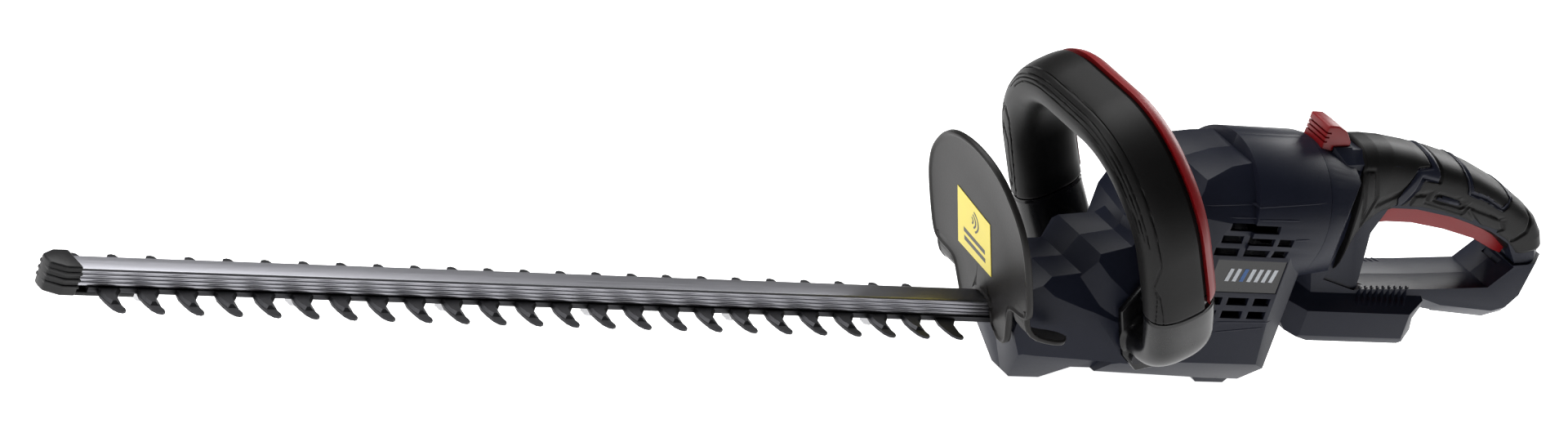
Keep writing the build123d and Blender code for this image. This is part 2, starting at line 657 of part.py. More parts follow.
HUB_ROOM = HUB_R + TURN_GAP
FOOT_PLATE = [
    (24.0, 56.0), (33.0, 73.0), (60.0, 71.0), (66.0, 44.0), (60.0, 24.0), (48.0, 21.0), (36.0, 30.0),
]
FOOT_SCREWS = [(44.0, 30.0), (37.0, 66.0)]
FOOT_SCREW_D = 4.0
foot_room = prism(FOOT_PLATE, 60.0, -FREE_FIT)
foot_seat = prism(FOOT_PLATE, FOOT_PLATE_Y, -2.5)
seat_back = prism(FOOT_PLATE, FOOT_PLATE_Y - WALL, -4.0)
shell_core = prism([(-40.0, -5.0), (150.0, -5.0), (150.0, 150.0), (-40.0, 150.0)], FOOT_PLATE_Y)

with BuildPart() as posts:
    for x, z in SHELL_POSTS:
        with BuildSketch(Plane.XZ):
            with Locations((x, z)):
                Circle(BOSS_R)
        extrude(amount=60.0, both=True)
    add(outside, mode=Mode.INTERSECT)

with BuildPart() as seats:
    add(foot_seat)
    add(seat_back, mode=Mode.SUBTRACT)
    add(outside, mode=Mode.INTERSECT)

with BuildPart() as foot_cut:
    add(foot_room)
    add(shell_core, mode=Mode.SUBTRACT)

with BuildPart() as elbow_cut:
    for side in (-1, 1):
        with BuildSketch(Plane.XZ.offset(side * (FOOT_PLATE_Y + FOOT_PLATE_T - 0.8))):
            with Locations((LOOP_X, LOOP_Z)):
                Ellipse(LOOP_DEPTH + 1.0, LOOP_THICK + 1.0, rotation=LOOP_LEAN)
        extrude(amount=side * 30.0)

with BuildPart() as housing:
    add(outside)
    add(inside, mode=Mode.SUBTRACT)
    add(posts.part)
    add(seats.part)
    add(foot_cut.part, mode=Mode.SUBTRACT)
    # room for the elbows of the loop handle
    add(elbow_cut.part, mode=Mode.SUBTRACT)
    # mouth for the bar and the blades
    with Locations((-30.0, 0, (CASE_SPLIT_Z + BAR_Z + BAR_H) / 2)):
        Box(20.0, 2 * TAIL_HALF + 2.0, BAR_Z + BAR_H + 2.0 - CASE_SPLIT_Z, mode=Mode.SUBTRACT)
    # bore for the hub of the rear handle
    with BuildSketch(Plane.YZ.offset(REAR_X)):
        with Locations((0, COLLAR_Z)):
            Circle(HUB_ROOM)
    extrude(amount=-REAR_WALL, mode=Mode.SUBTRACT)
    # holes for the guard's screws
    with BuildSketch(Plane.YZ.offset(-30.0)):
        with Locations((-GUARD_LUG_Y, GUARD_LUG_Z), (GUARD_LUG_Y, GUARD_LUG_Z)):
            Circle(GUARD_SCREW_D / 2 + RUN_FIT)
    extrude(amount=6.0, mode=Mode.SUBTRACT)
    # vents and the badge recess
    with BuildSketch(Plane.XZ):
        for x_front, x_rear, z in VENTS:
            with Locations(((x_front + x_rear) / 2, z)):
                Rectangle(x_rear - x_front, VENT_H)
    extrude(amount=60.0, both=True, mode=Mode.SUBTRACT)
    for side in (-1, 1):
        with Locations((
            (BADGE_X[0] + BADGE_X[1]) / 2, side * (BODY_HALF + 1.0), (BADGE_Z[0] + BADGE_Z[1]) / 2
        )):
            Box(
                BADGE_X[1] - BADGE_X[0] + 0.4,
                2 * (BADGE_T + 1.0),
                BADGE_Z[1] - BADGE_Z[0] + 0.4,
                mode=Mode.SUBTRACT,
            )
    # screw holes: a head recess and a clearance hole on the right, a pilot on the left
    for x, z in SHELL_POSTS:
        with BuildSketch(Plane.XZ):
            with Locations((x, z)):
                Circle(SHELL_SCREW_D / 2 + RUN_FIT)
        extrude(amount=8.0, both=True, mode=Mode.SUBTRACT)
        with BuildSketch(Plane.XZ.offset(-5.0)):
            with Locations((x, z)):
                Circle(3.0)
        extrude(amount=-60.0, mode=Mode.SUBTRACT)

# cut down the middle into a left and a right half
for name, keep in (("housing_left", Keep.TOP), ("housing_right", Keep.BOTTOM)):
    with BuildPart() as half:
        add(housing.part)
        split(bisect_by=Plane.XZ, keep=keep)
    save(name, half.part)

with BuildPart() as housing_screws:
    for x, z in SHELL_POSTS:
        with BuildSketch(Plane.XZ.offset(-5.0)):
            with Locations((x, z)):
                Circle(2.9)
        extrude(amount=-2.6)
        with BuildSketch(Plane.XZ.offset(-5.0)):
            with Locations((x, z)):
                Circle(SHELL_SCREW_D / 2)
        extrude(amount=12.5)
save("housing_screws", housing_screws.part)

with BuildPart() as badge_plates:
    for side in (-1, 1):
        with Locations((
            (BADGE_X[0] + BADGE_X[1]) / 2, side * (BADGE_FLOOR + BADGE_T / 2 - 0.2),
            (BADGE_Z[0] + BADGE_Z[1]) / 2
        )):
            Box(BADGE_X[1] - BADGE_X[0], BADGE_T - 0.4, BADGE_Z[1] - BADGE_Z[0])
save("badge_plates", badge_plates.part)


# ================================================================ hand guard
guard_plane = Plane(
    origin=(GUARD_BASE_X, 0, GUARD_BASE_Z),
    x_dir=(0, 1, 0),
    z_dir=(cos(radians(GUARD_LEAN)), 0, sin(radians(GUARD_LEAN))),
)
GUARD_HALF = [
    (0.0, -8.0), (24.0, -8.0), (28.0, 22.0), (47.0, 26.0), (50.0, 45.0),
    (50.0, 64.0), (45.0, 86.0), (35.0, 101.0), (19.0, 111.0), (0.0, 114.0),
]
GUARD_WING = [
    (-38.0, 44.0), (-30.0, 27.0), (-12.0, 24.0), (0.0, 29.0), (2.0, 36.0), (-16.0, 40.0), (-30.0, 60.0),
    (-45.0, 60.0),
]
guard_sheet = prism(mirrored(GUARD_HALF), GUARD_T / 2, 0.0, guard_plane)
guard_side = prism(GUARD_WING, 33.0)
guard_side_core = prism(GUARD_WING, 30.0, -5.0)
with BuildPart() as wings:
    add(guard_side)
    add(guard_side_core, mode=Mode.SUBTRACT)
with BuildPart() as hand_guard:
    add(guard_sheet)
    add(wings.part)
    with BuildSketch(guard_plane):
        with Locations((0, 8.0)):
            Rectangle(2 * COMB_HALF + 3.0, 17.0)
    extrude(amount=GUARD_T, both=True, mode=Mode.SUBTRACT)
    for side in (-1, 1):
        with Locations((-35.0, side * GUARD_LUG_Y, GUARD_LUG_Z)):
            Box(14.0, 8.0, 7.0)
    with BuildSketch(Plane.YZ.offset(-60.0)):
        with Locations((-GUARD_LUG_Y, GUARD_LUG_Z), (GUARD_LUG_Y, GUARD_LUG_Z)):
            Circle(GUARD_SCREW_D / 2 + RUN_FIT)
    extrude(amount=40.0, mode=Mode.SUBTRACT)
    with BuildSketch(Plane.YZ.offset(-60.0)):
        with Locations((-GUARD_LUG_Y, GUARD_LUG_Z), (GUARD_LUG_Y, GUARD_LUG_Z)):
            Circle(3.2)
    extrude(amount=22.0, mode=Mode.SUBTRACT)
save("hand_guard", hand_guard.part)

with BuildPart() as guard_screws:
    for side in (-1, 1):
        with BuildSketch(Plane.YZ.offset(-38.0)):
            with Locations((side * GUARD_LUG_Y, GUARD_LUG_Z)):
                Circle(3.0)
        extrude(amount=-2.2)
        with BuildSketch(Plane.YZ.offset(-38.0)):
            with Locations((side * GUARD_LUG_Y, GUARD_LUG_Z)):
                Circle(GUARD_SCREW_D / 2)
        extrude(amount=38.0 + NOSE_X)
save("guard_screws", guard_screws.part)

# ================================================================ front loop handle
loop_lean = radians(LOOP_LEAN)
loop_normal = Vector(cos(loop_lean), 0, sin(loop_lean))
loop_plane = Plane(origin=(LOOP_X, 0, LOOP_Z), x_dir=(0, 1, 0), z_dir=loop_normal)
LOOP_RIGHT = [
    (FOOT_PLATE_Y + FOOT_PLATE_T - 0.5, 0.0), (58.0, 0.0), (LOOP_HALF, 35.0),
    (LOOP_HALF, LOOP_TOP - 36.0), (LOOP_HALF - 29.0, LOOP_TOP),
]
LOOP_RADII = [16.0, 100.0, 60.0, 45.0]
GRIP_START_V = 33.0
BAIL_RISE = 3.0
with BuildLine(loop_plane) as loop_path:
    loop_points = [(-u, v) for u, v in LOOP_RIGHT] + LOOP_RIGHT[::-1]
    FilletPolyline(*loop_points, radius=LOOP_RADII + LOOP_RADII[::-1])
loop_line = loop_path.line


def loop_sweep(depth, thick):
    """An oval bar that follows the loop, given by its half depth and half thickness."""
    with BuildPart() as bar:
        with BuildSketch(Plane(origin=loop_line @ 0, x_dir=loop_normal, z_dir=loop_line % 0)):
            Ellipse(depth, thick)
        sweep(path=loop_line)
    return bar.part


def loop_strip(low, high, width):
    """A flat strip along the loop, between two heights over its middle plane."""
    with BuildPart() as strip:
        with BuildSketch(Plane(origin=loop_line @ 0, x_dir=loop_normal, z_dir=loop_line % 0)):
            with Locations(((low + high) / 2, 0)):
                Rectangle(high - low, width)
        sweep(path=loop_line)
    return strip.part


def loop_zone(first_v, last_v, low=-60.0, high=60.0):
    """The part of space between two stations up the loop and two heights over its plane."""
    with BuildPart() as zone:
        with BuildSketch(loop_plane.offset(low)):
            with Locations((0, (first_v + last_v) / 2)):
                Rectangle(400.0, last_v - first_v)
        extrude(amount=high - low)
    return zone.part


loop_outer = loop_sweep(LOOP_DEPTH, LOOP_THICK)
loop_inner = loop_sweep(LOOP_DEPTH - GRIP_SKIN, LOOP_THICK - GRIP_SKIN)
loop_hollow = loop_sweep(LOOP_DEPTH - GRIP_SKIN - LOOP_WALL, LOOP_THICK - GRIP_SKIN - LOOP_WALL)
bail_top = LOOP_DEPTH - 1.0 + BAIL_RISE
bail_groove = loop_strip(bail_top - BAIL_T - BAIL_TRAVEL - 0.5, bail_top + 5.0, BAIL_W + 2 * FREE_FIT)
bail_strip = loop_strip(bail_top - BAIL_T, bail_top, BAIL_W)
grip_zone = loop_zone(GRIP_START_V, 300.0)
bail_zone = loop_zone(GRIP_START_V + 1.0, 300.0)
groove_zone = loop_zone(GRIP_START_V + 0.5, 300.0)
rear_zone = loop_zone(-200.0, 300.0, 0.0, 80.0)
front_zone = loop_zone(-200.0, 300.0, -80.0, 0.0)
foot_solid = prism(FOOT_PLATE, FOOT_PLATE_Y + FOOT_PLATE_T)

with BuildPart() as groove_cut:
    add(bail_groove)
    add(groove_zone, mode=Mode.INTERSECT)

with BuildPart() as front_handle_grip:
    add(loop_outer)
    add(loop_inner, mode=Mode.SUBTRACT)
    add(grip_zone, mode=Mode.INTERSECT)
    add(groove_cut.part, mode=Mode.SUBTRACT)
save("front_handle_grip", front_handle_grip.part)

with BuildPart() as foot_plates:
    add(foot_solid)
    add(shell_core, mode=Mode.SUBTRACT)

with BuildPart() as loop_skin:
    add(loop_outer)
    add(loop_inner, mode=Mode.SUBTRACT)
    add(grip_zone, mode=Mode.INTERSECT)

with BuildPart() as loop_core:
    add(loop_outer)
    add(foot_plates.part)
    add(loop_skin.part, mode=Mode.SUBTRACT)
    add(loop_hollow, mode=Mode.SUBTRACT)
    add(groove_cut.part, mode=Mode.SUBTRACT)
    with BuildSketch(Plane.XZ):
        with Locations(*FOOT_SCREWS):
            Circle(FOOT_SCREW_D / 2 + RUN_FIT)
    extrude(amount=FOOT_PLATE_Y + FOOT_PLATE_T, both=True, mode=Mode.SUBTRACT)

for name, zone in (("front_handle_front", front_zone), ("front_handle_rear", rear_zone)):
    with BuildPart() as loop_shell:
        add(loop_core.part)
        add(zone, mode=Mode.INTERSECT)
    save(name, loop_shell.part)

with BuildPart() as front_switch_bail:
    add(bail_strip)
    add(bail_zone, mode=Mode.INTERSECT)
save("front_switch_bail", front_switch_bail.part)

with BuildPart() as bail_springs:
    for side in (-1, 1):
        with BuildSketch(loop_plane.offset(6.0)):
            with Locations((side * LOOP_HALF, 60.0)):
                Circle(3.0)
                Circle(2.0, mode=Mode.SUBTRACT)
        extrude(amount=bail_top - BAIL_T - 6.0)
save("bail_springs", bail_springs.part)

with BuildPart() as front_microswitch:
    with BuildSketch(loop_plane.offset(-8.0)):
        with Locations((-LOOP_HALF, 80.0)):
            Rectangle(6.0, 20.0)
    extrude(amount=14.0)
save("front_microswitch", front_microswitch.part)

with BuildPart() as front_handle_screws:
    for side in (-1, 1):
        for x, z in FOOT_SCREWS:
            with BuildSketch(Plane.XZ.offset(-side * (FOOT_PLATE_Y + FOOT_PLATE_T))):
                with Locations((x, z)):
                    Circle(3.6)
            extrude(amount=-side * 2.4)
            with BuildSketch(Plane.XZ.offset(-side * (FOOT_PLATE_Y + FOOT_PLATE_T))):
                with Locations((x, z)):
                    Circle(FOOT_SCREW_D / 2)
            extrude(amount=side * FOOT_PLATE_T)
save("front_handle_screws", front_handle_screws.part)

# ================================================================ rear handle
TURN_FACE_X = REAR_X + TURN_GAP
hub_front_x = REAR_X - REAR_WALL - TURN_GAP - HUB_FLANGE_T
D_SIDE = [
    (150.0, 146.0), (171.0, 147.5), (193.0, 147.5), (229.0, 142.5), (260.0, 134.0), (290.0, 122.0),
    (308.0, 112.0),
    (318.0, 102.0), (323.0, 88.0), (319.0, 62.0), (310.0, 51.0), (298.0, 47.5), (258.0, 50.0),
    (238.0, 55.0),
    (160.0, 55.0), (150.0, 80.0),
]
D_HOLE = [
    (199.0, 65.0), (246.0, 66.5), (288.0, 69.0), (301.0, 82.0), (291.0, 94.0), (275.0, 101.0),
    (247.0, 108.0),
    (218.0, 112.0), (200.0, 112.0), (194.5, 98.0),
]
D_CHAMFER = 7.0
DOCK_SIDE = [
    (142.0, 52.0), (150.0, 42.0), (167.0, 36.5), (231.0, 36.5), (239.0, 44.0), (236.0, 52.0), (243.0, 57.0),
    (243.0, 66.0), (205.0, 65.0), (160.0, 72.0), (150.0, 72.0),
]
DOCK_PLAN = [
    (0.0, 142.0), (20.0, 142.0), (DOCK_HALF, 158.0), (DOCK_HALF, 230.0), (20.0, 243.0), (0.0, 243.0),
]
DOCK_FRONT = [
    (0.0, 36.5), (25.0, 36.5), (DOCK_HALF, 41.0), (DOCK_HALF, 56.0), (BRIDGE_HALF, 66.0),
    (BRIDGE_HALF, 72.0), (0.0, 72.0),
]
RAIL_TOP_Z = 51.0
RAIL_FRONT_X = 166.0
RAIL_LIP = 3.0
NECK_X = 172.0
NECK_STRAIGHT = 9.0
NECK_END_R = 35.0
PLAN_PLANE = Plane(origin=(0, 0, 0), x_dir=(0, 1, 0), z_dir=(0, 0, -1))
GRIP_ZONE = [
    (158.0, 170.0), (163.0, 140.0), (166.0, 122.0), (175.0, 104.0), (172.0, 84.0), (170.0, 70.0),
    (194.0, 64.0), (200.0, 66.0),
    (195.0, 98.0), (230.0, 100.0), (300.0, 83.0), (310.0, 84.0), (340.0, 92.0), (330.0, 170.0),
]


def rear_form(inset):
    """The outside of the rear handle, or its inside when it is drawn in."""
    with BuildPart() as loop_body:
        with BuildSketch(Plane.XZ):
            with BuildLine():
                Polyline(*D_SIDE, close=True)
            make_face()
            if inset:
                offset(amount=-inset, kind=Kind.INTERSECTION)
        extrude(amount=GRIP_HALF - inset, both=True)
        chamfer(faces().filter_by(Axis.Y).edges(), D_CHAMFER - inset / 2)
        with BuildSketch(Plane.XZ):
            with BuildLine():
                Polyline(*D_HOLE, close=True)
            make_face()
            if inset:
                offset(amount=inset, kind=Kind.INTERSECTION)
        extrude(amount=100.0, both=True, mode=Mode.SUBTRACT)
    neck_front = TURN_FACE_X + inset
    neck_length = NECK_X - inset - neck_front
    neck_plan = [
        (0.0, TURN_FACE_X), (COLLAR_R, TURN_FACE_X), (COLLAR_R, TURN_FACE_X + NECK_STRAIGHT),
        (GRIP_HALF - 1.0, NECK_X),
        (0.0, NECK_X),
    ]
    with BuildPart() as collar:
        with Locations(Plane(origin=(neck_front, 0, COLLAR_Z), x_dir=(0, 1, 0), z_dir=(1, 0, 0))):
            Cone(COLLAR_R - 0.2 - inset, NECK_END_R - inset, neck_length, align=up)
        add(prism(mirrored(neck_plan), 200.0, inset, PLAN_PLANE), mode=Mode.INTERSECT)
    with BuildPart() as form:
        add(loop_body.part)
        add(collar.part)
        add(common(DOCK_SIDE, DOCK_PLAN, DOCK_FRONT, inset))
    return form.part


rear_outside = rear_form(0.0)
rear_skin_floor = rear_form(GRIP_SKIN - 0.5)
rear_inside = rear_form(GRIP_SKIN + WALL - 0.5)
grip_zone_solid = prism(GRIP_ZONE, 60.0)
trigger_pin_at = (287.0, 102.5)
TRIGGER_SIDE = [
    (197.0, 100.0), (208.0, 101.5), (226.0, 101.5), (250.0, 98.5), (274.0, 93.5), (291.0, 87.0),
    (297.0, 85.5), (299.0, 90.0),
    (294.0, 101.0), (282.0, 106.0), (262.0, 110.0), (247.0, 115.0), (218.0, 119.0), (199.0, 119.0),
]
TRIGGER_ROOM = [
    (195.0, 94.0), (250.0, 94.0), (299.0, 78.0), (303.0, 90.0), (296.0, 105.0), (275.0, 114.0),
    (247.0, 122.0),
    (218.0, 129.0), (195.0, 129.0),
]
LOCK_X = (142.5, 161.5)
LOCK_HALF = 9.0
LOCK_TRAVEL = 4.0
LOCK_TOP_Z = 158.0
trigger_room = prism(TRIGGER_ROOM, TRIGGER_HALF + FREE_FIT)
HANDLE_POSTS = [(181.0, 88.0), (228.0, 134.0), (310.0, 76.0), (256.0, 58.0), (150.0, 62.0)]
PIN_BOSS_R = 4.5

with BuildPart() as rear_grip:
    add(rear_outside)
    add(rear_skin_floor, mode=Mode.SUBTRACT)
    add(grip_zone_solid, mode=Mode.INTERSECT)
    add(trigger_room, mode=Mode.SUBTRACT)
save("rear_grip", rear_grip.part)

with BuildPart() as rear_posts:
    for x, z in HANDLE_POSTS:
        with BuildSketch(Plane.XZ):
            with Locations((x, z)):
                Circle(BOSS_R - 0.4)
        extrude(amount=60.0, both=True)
    with BuildSketch(Plane.XZ):
        with Locations(trigger_pin_at):
            Circle(PIN_BOSS_R)
    extrude(amount=60.0, both=True)
    with Locations((150.0, 0, 120.0)):
        Box(16.0, 60.0, 3.0)
    add(rear_skin_floor, mode=Mode.INTERSECT)

with BuildPart() as rear_shell:
    add(rear_outside)
    add(rear_inside, mode=Mode.SUBTRACT)
    add(rear_posts.part)
    # hub and flange that turn in the housing
    with BuildSketch(Plane.YZ.offset(hub_front_x)):
        with Locations((0, COLLAR_Z)):
            Circle(HUB_R)
    extrude(amount=TURN_FACE_X + WALL - hub_front_x)
    with BuildSketch(Plane.YZ.offset(hub_front_x)):
        with Locations((0, COLLAR_Z)):
            Circle(HUB_FLANGE_R)
    extrude(amount=HUB_FLANGE_T)
    with BuildSketch(Plane.YZ.offset(hub_front_x)):
        with Locations((0, COLLAR_Z)):
            Circle(HUB_R - 4.0)
    extrude(amount=TURN_FACE_X + 8.0 - hub_front_x, mode=Mode.SUBTRACT)
    add(rear_grip.part, mode=Mode.SUBTRACT)
    add(trigger_room, mode=Mode.SUBTRACT)
    # battery channel, open below and at the rear, with a lip on each side
    with Locations(((RAIL_FRONT_X + 260.0) / 2, 0, RAIL_TOP_Z - 4.0)):
        Box(260.0 - RAIL_FRONT_X, 2 * RAIL_GAP_HALF, 8.0, mode=Mode.SUBTRACT)
    with Locations(((RAIL_FRONT_X + 260.0) / 2, 0, RAIL_TOP_Z - 10.0)):
        Box(260.0 - RAIL_FRONT_X, 2 * (RAIL_GAP_HALF - RAIL_LIP), 14.0, mode=Mode.SUBTRACT)
    # slot for the lock button
    with Locations(((LOCK_X[0] + LOCK_X[1]) / 2, 0, 140.0)):
        Box(LOCK_X[1] - LOCK_X[0] + 2 * FREE_FIT, 2 * (LOCK_HALF + FREE_FIT), 30.0, mode=Mode.SUBTRACT)
    for x, z in HANDLE_POSTS:
        with BuildSketch(Plane.XZ):
            with Locations((x, z)):
                Circle(1.6)
        extrude(amount=8.0, both=True, mode=Mode.SUBTRACT)
        with BuildSketch(Plane.XZ.offset(-5.0)):
            with Locations((x, z)):
                Circle(2.8)
        extrude(amount=-60.0, mode=Mode.SUBTRACT)
    with BuildSketch(Plane.XZ):
        with Locations(trigger_pin_at):
            Circle(2.0)
    extrude(amount=12.0, both=True, mode=Mode.SUBTRACT)

for name, keep in (("rear_handle_left", Keep.TOP), ("rear_handle_right", Keep.BOTTOM)):
    with BuildPart() as half:
        add(rear_shell.part)
        split(bisect_by=Plane.XZ, keep=keep)
    save(name, half.part)

with BuildPart() as rear_handle_screws:
    for x, z in HANDLE_POSTS:
        with BuildSketch(Plane.XZ.offset(-5.0)):
            with Locations((x, z)):
                Circle(2.6)
        extrude(amount=-2.4)
        with BuildSketch(Plane.XZ.offset(-5.0)):
            with Locations((x, z)):
                Circle(1.5)
        extrude(amount=12.5)
save("rear_handle_screws", rear_handle_screws.part)

# ================================================================ trigger and lock
with BuildPart() as trigger:
    with BuildSketch(Plane.XZ):
        with BuildLine():
            Polyline(*TRIGGER_SIDE, close=True)
        make_face()
        with Locations(trigger_pin_at):
            Circle(2.0 + RUN_FIT, mode=Mode.SUBTRACT)
    extrude(amount=TRIGGER_HALF, both=True)
save("trigger", trigger.part)

with BuildPart() as trigger_pin:
    with BuildSketch(Plane.XZ):
        with Locations(trigger_pin_at):
            Circle(2.0)
    extrude(amount=11.5, both=True)
save("trigger_pin", trigger_pin.part)

with BuildPart() as trigger_spring:
    with Locations((208.0, 0, 119.0)):
        Cylinder(3.5, 21.0, align=up)
        Cylinder(2.5, 21.0, align=up, mode=Mode.SUBTRACT)
save("trigger_spring", trigger_spring.part)

with BuildPart() as trigger_switch:
    with Locations((243.0, 0, 121.0)):
        Box(18.0, 10.0, 10.0, align=up)
save("trigger_switch", trigger_switch.part)

with BuildPart() as lock_button:
    with BuildSketch(Plane.XZ):
        with BuildLine():
            Polyline(
                (LOCK_X[0], 134.0), (LOCK_X[1], 134.0), (LOCK_X[1], LOCK_TOP_Z - 9.0),
                (LOCK_X[1] - 5.0, LOCK_TOP_Z - 3.0),
                (LOCK_X[0] + 7.0, LOCK_TOP_Z), (LOCK_X[0], LOCK_TOP_Z), close=True,
            )
        make_face()
    extrude(amount=LOCK_HALF, both=True)
save("lock_button", lock_button.part)

with BuildPart() as lock_spring:
    with Locations((150.0, 0, 121.5)):
        Cylinder(4.0, 12.5, align=up)
        Cylinder(3.0, 12.5, align=up, mode=Mode.SUBTRACT)
save("lock_spring", lock_spring.part)

# ================================================================ battery terminals and board
with BuildPart() as terminal_block:
    with Locations((RAIL_FRONT_X + 7.0, 0, RAIL_TOP_Z - 6.0)):
        Box(14.0, 24.0, 12.0)
save("terminal_block", terminal_block.part)

with BuildPart() as battery_contacts:
    for y in (-9.0, -3.0, 3.0, 9.0):
        with Locations((RAIL_FRONT_X + 14.0 + 7.0, y, RAIL_TOP_Z - 6.0)):
            Box(14.0, 0.8, 6.0)
save("battery_contacts", battery_contacts.part)

with BuildPart() as control_board:
    with Locations((205.0, 0, 58.0)):
        Box(40.0, 16.0, 1.6)
    with Locations((195.0, 0, 59.8)):
        Box(8.0, 12.0, 2.0)
save("control_board", control_board.part)
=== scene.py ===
import json
import math

import bpy
from mathutils import Matrix, Vector


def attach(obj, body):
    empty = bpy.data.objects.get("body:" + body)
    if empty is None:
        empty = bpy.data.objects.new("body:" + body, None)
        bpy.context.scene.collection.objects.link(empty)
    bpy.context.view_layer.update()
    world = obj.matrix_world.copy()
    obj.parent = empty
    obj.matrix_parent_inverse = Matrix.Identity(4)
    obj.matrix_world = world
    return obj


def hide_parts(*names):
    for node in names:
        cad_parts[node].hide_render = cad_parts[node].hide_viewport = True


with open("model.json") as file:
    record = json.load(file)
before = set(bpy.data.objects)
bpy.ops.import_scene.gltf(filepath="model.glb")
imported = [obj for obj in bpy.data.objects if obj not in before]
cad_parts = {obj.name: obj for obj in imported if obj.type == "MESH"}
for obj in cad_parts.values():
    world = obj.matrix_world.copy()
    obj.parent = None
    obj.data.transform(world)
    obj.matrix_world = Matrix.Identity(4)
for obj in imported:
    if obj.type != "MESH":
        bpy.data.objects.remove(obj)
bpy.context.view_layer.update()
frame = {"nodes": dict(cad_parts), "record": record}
nodes = frame["nodes"]

# The studio: a pale floor under the resting feet, a broad soft light from above and behind, a weak
# fill from the front, and a camera that looks down on the tool from the left of its blade.
FLOOR_SIZE = 14.0
CAMERA_PLACE = Vector((-2.38507, -2.70936, 1.49645))
CAMERA_RIGHT = Vector((0.8105, -0.4981, 0.3081))
CAMERA_UP = Vector((-0.0346, 0.4844, 0.8742))
CAMERA_LENS = 168.894
SENSOR_WIDTH = 36.0


def alone(piece):
    """Makes one piece the only one that operators act on."""
    bpy.ops.object.select_all(action="DESELECT")
    piece.select_set(True)
    bpy.context.view_layer.objects.active = piece
    return piece


def newest(name):
    """Names the piece that the last operator added, and gives it a mesh of the same name."""
    piece = bpy.context.view_layer.objects.active
    piece.name = name
    piece.data.name = name
    return piece


def soft_light(name, place, aim, size, power, tint=(1.0, 1.0, 1.0)):
    bpy.ops.object.light_add(type="AREA", location=place)
    lamp = newest(name)
    lamp.data.shape = "RECTANGLE"
    lamp.data.size = size[0]
    lamp.data.size_y = size[1]
    lamp.data.energy = power
    lamp.data.color = tint
    lamp.rotation_euler = (Vector(aim) - Vector(place)).to_track_quat("-Z", "Y").to_euler()
    return lamp


class Socket:
    """A shader value that can be used in plain arithmetic."""

    def __init__(self, nodes_of, socket):
        self.nodes_of = nodes_of
        self.socket = socket

    def _math(self, operation, *values):
        return self.nodes_of.node("ShaderNodeMath", {"operation": operation}, *values)

    def __add__(self, other):
        return self._math("ADD", self, other)

    def __radd__(self, other):
        return self._math("ADD", other, self)

    def __sub__(self, other):
        return self._math("SUBTRACT", self, other)

    def __rsub__(self, other):
        return self._math("SUBTRACT", other, self)

    def __mul__(self, other):
        return self._math("MULTIPLY", self, other)

    def __rmul__(self, other):
        return self._math("MULTIPLY", other, self)

    def __gt__(self, other):
        return self._math("GREATER_THAN", self, other)

    def __lt__(self, other):
        return self._math("LESS_THAN", self, other)

    def power(self, other):
        return self._math("POWER", self, other)

    def clamped(self):
        return self.nodes_of.node("ShaderNodeClamp", {}, self, 0.0, 1.0)


# a colour mix node has five sockets between its share and its two colours
UNUSED_MIX_SOCKETS = [None] * 5


class Finish:
    """A material made from nodes."""

    def __init__(self, name):
        self.material = bpy.data.materials.new(name)
        self.material.use_nodes = True
        self.tree = self.material.node_tree
        self.shader = self.tree.nodes["Principled BSDF"]
        self.place = self.node("ShaderNodeTexCoord", {}, output="Object")

    def node(self, kind, settings, *values, output=0, **named):
        """Adds one node. Settings are set first, then its inputs, by order or by name."""
        made = self.tree.nodes.new(kind)
        for key, value in settings.items():
            if key == "stops":
                ramp = made.color_ramp
                while len(ramp.elements) < len(value):
                    ramp.elements.new(0.5)
                for element, (position, colour) in zip(ramp.elements, value):
                    element.position = position
                    element.color = colour
            else:
                setattr(made, key, value)
        for slot_at, value in list(enumerate(values)) + [(k.replace("_", " "), v) for k, v in named.items()]:
            if value is None:
                continue
            if isinstance(value, Socket):
                self.tree.links.new(value.socket, made.inputs[slot_at])
            else:
                made.inputs[slot_at].default_value = value
        return Socket(self, made.outputs[output])

    def stretched(self, scale):
        return self.node("ShaderNodeMapping", {}, Vector=self.place, Scale=scale)

    def noise(self, size, detail=2.0, rough=0.5, along=None):
        """Cloudy variation from 0 to 1. Size is the width of one cloud in metres."""
        at = self.stretched(along) if along else self.place
        return self.node(
            "ShaderNodeTexNoise", {}, Vector=at, Scale=1.0 / size, Detail=detail, Roughness=rough
        )

    def blend(self, share, first, second):
        """A colour between two others."""
        return self.node(
            "ShaderNodeMix", {"data_type": "RGBA"}, share, *UNUSED_MIX_SOCKETS, first, second, output=2
        )

    def set(self, **values):
        for key, value in values.items():
            target = self.shader.inputs[key.replace("_", " ")]
            if isinstance(value, Socket):
                self.tree.links.new(value.socket, target)
            else:
                target.default_value = value
        return self

    def bump(self, height, depth, strength=1.0):
        normal = self.node("ShaderNodeBump", {}, Strength=strength, Distance=depth, Height=height)
        return self.set(Normal=normal)


def rgb(red, green, blue):
    return (red, green, blue, 1.0)


def coat(piece, finish):
    """Gives a piece one finish all over."""
    piece.data.materials.clear()
    piece.data.materials.append(finish.material)


camera_data = bpy.data.cameras.new("camera")
camera = bpy.data.objects.new("camera", camera_data)
bpy.context.scene.collection.objects.link(camera)
bpy.context.scene.camera = camera
camera_data.lens = CAMERA_LENS
camera_data.sensor_width = SENSOR_WIDTH
camera_data.sensor_fit = "HORIZONTAL"
camera_data.clip_end = 60.0
camera_back = CAMERA_RIGHT.cross(CAMERA_UP)
camera_turn = Matrix((CAMERA_RIGHT, CAMERA_UP, camera_back)).transposed().to_4x4()
camera.matrix_world = Matrix.Translation(CAMERA_PLACE) @ camera_turn
bpy.context.scene.view_settings.view_transform = "Standard"

world = bpy.data.worlds.new("studio")
bpy.context.scene.world = world
world.use_nodes = True
world.node_tree.nodes["Background"].inputs["Color"].default_value = rgb(1.0, 1.0, 1.0)
world.node_tree.nodes["Background"].inputs["Strength"].default_value = 0.05

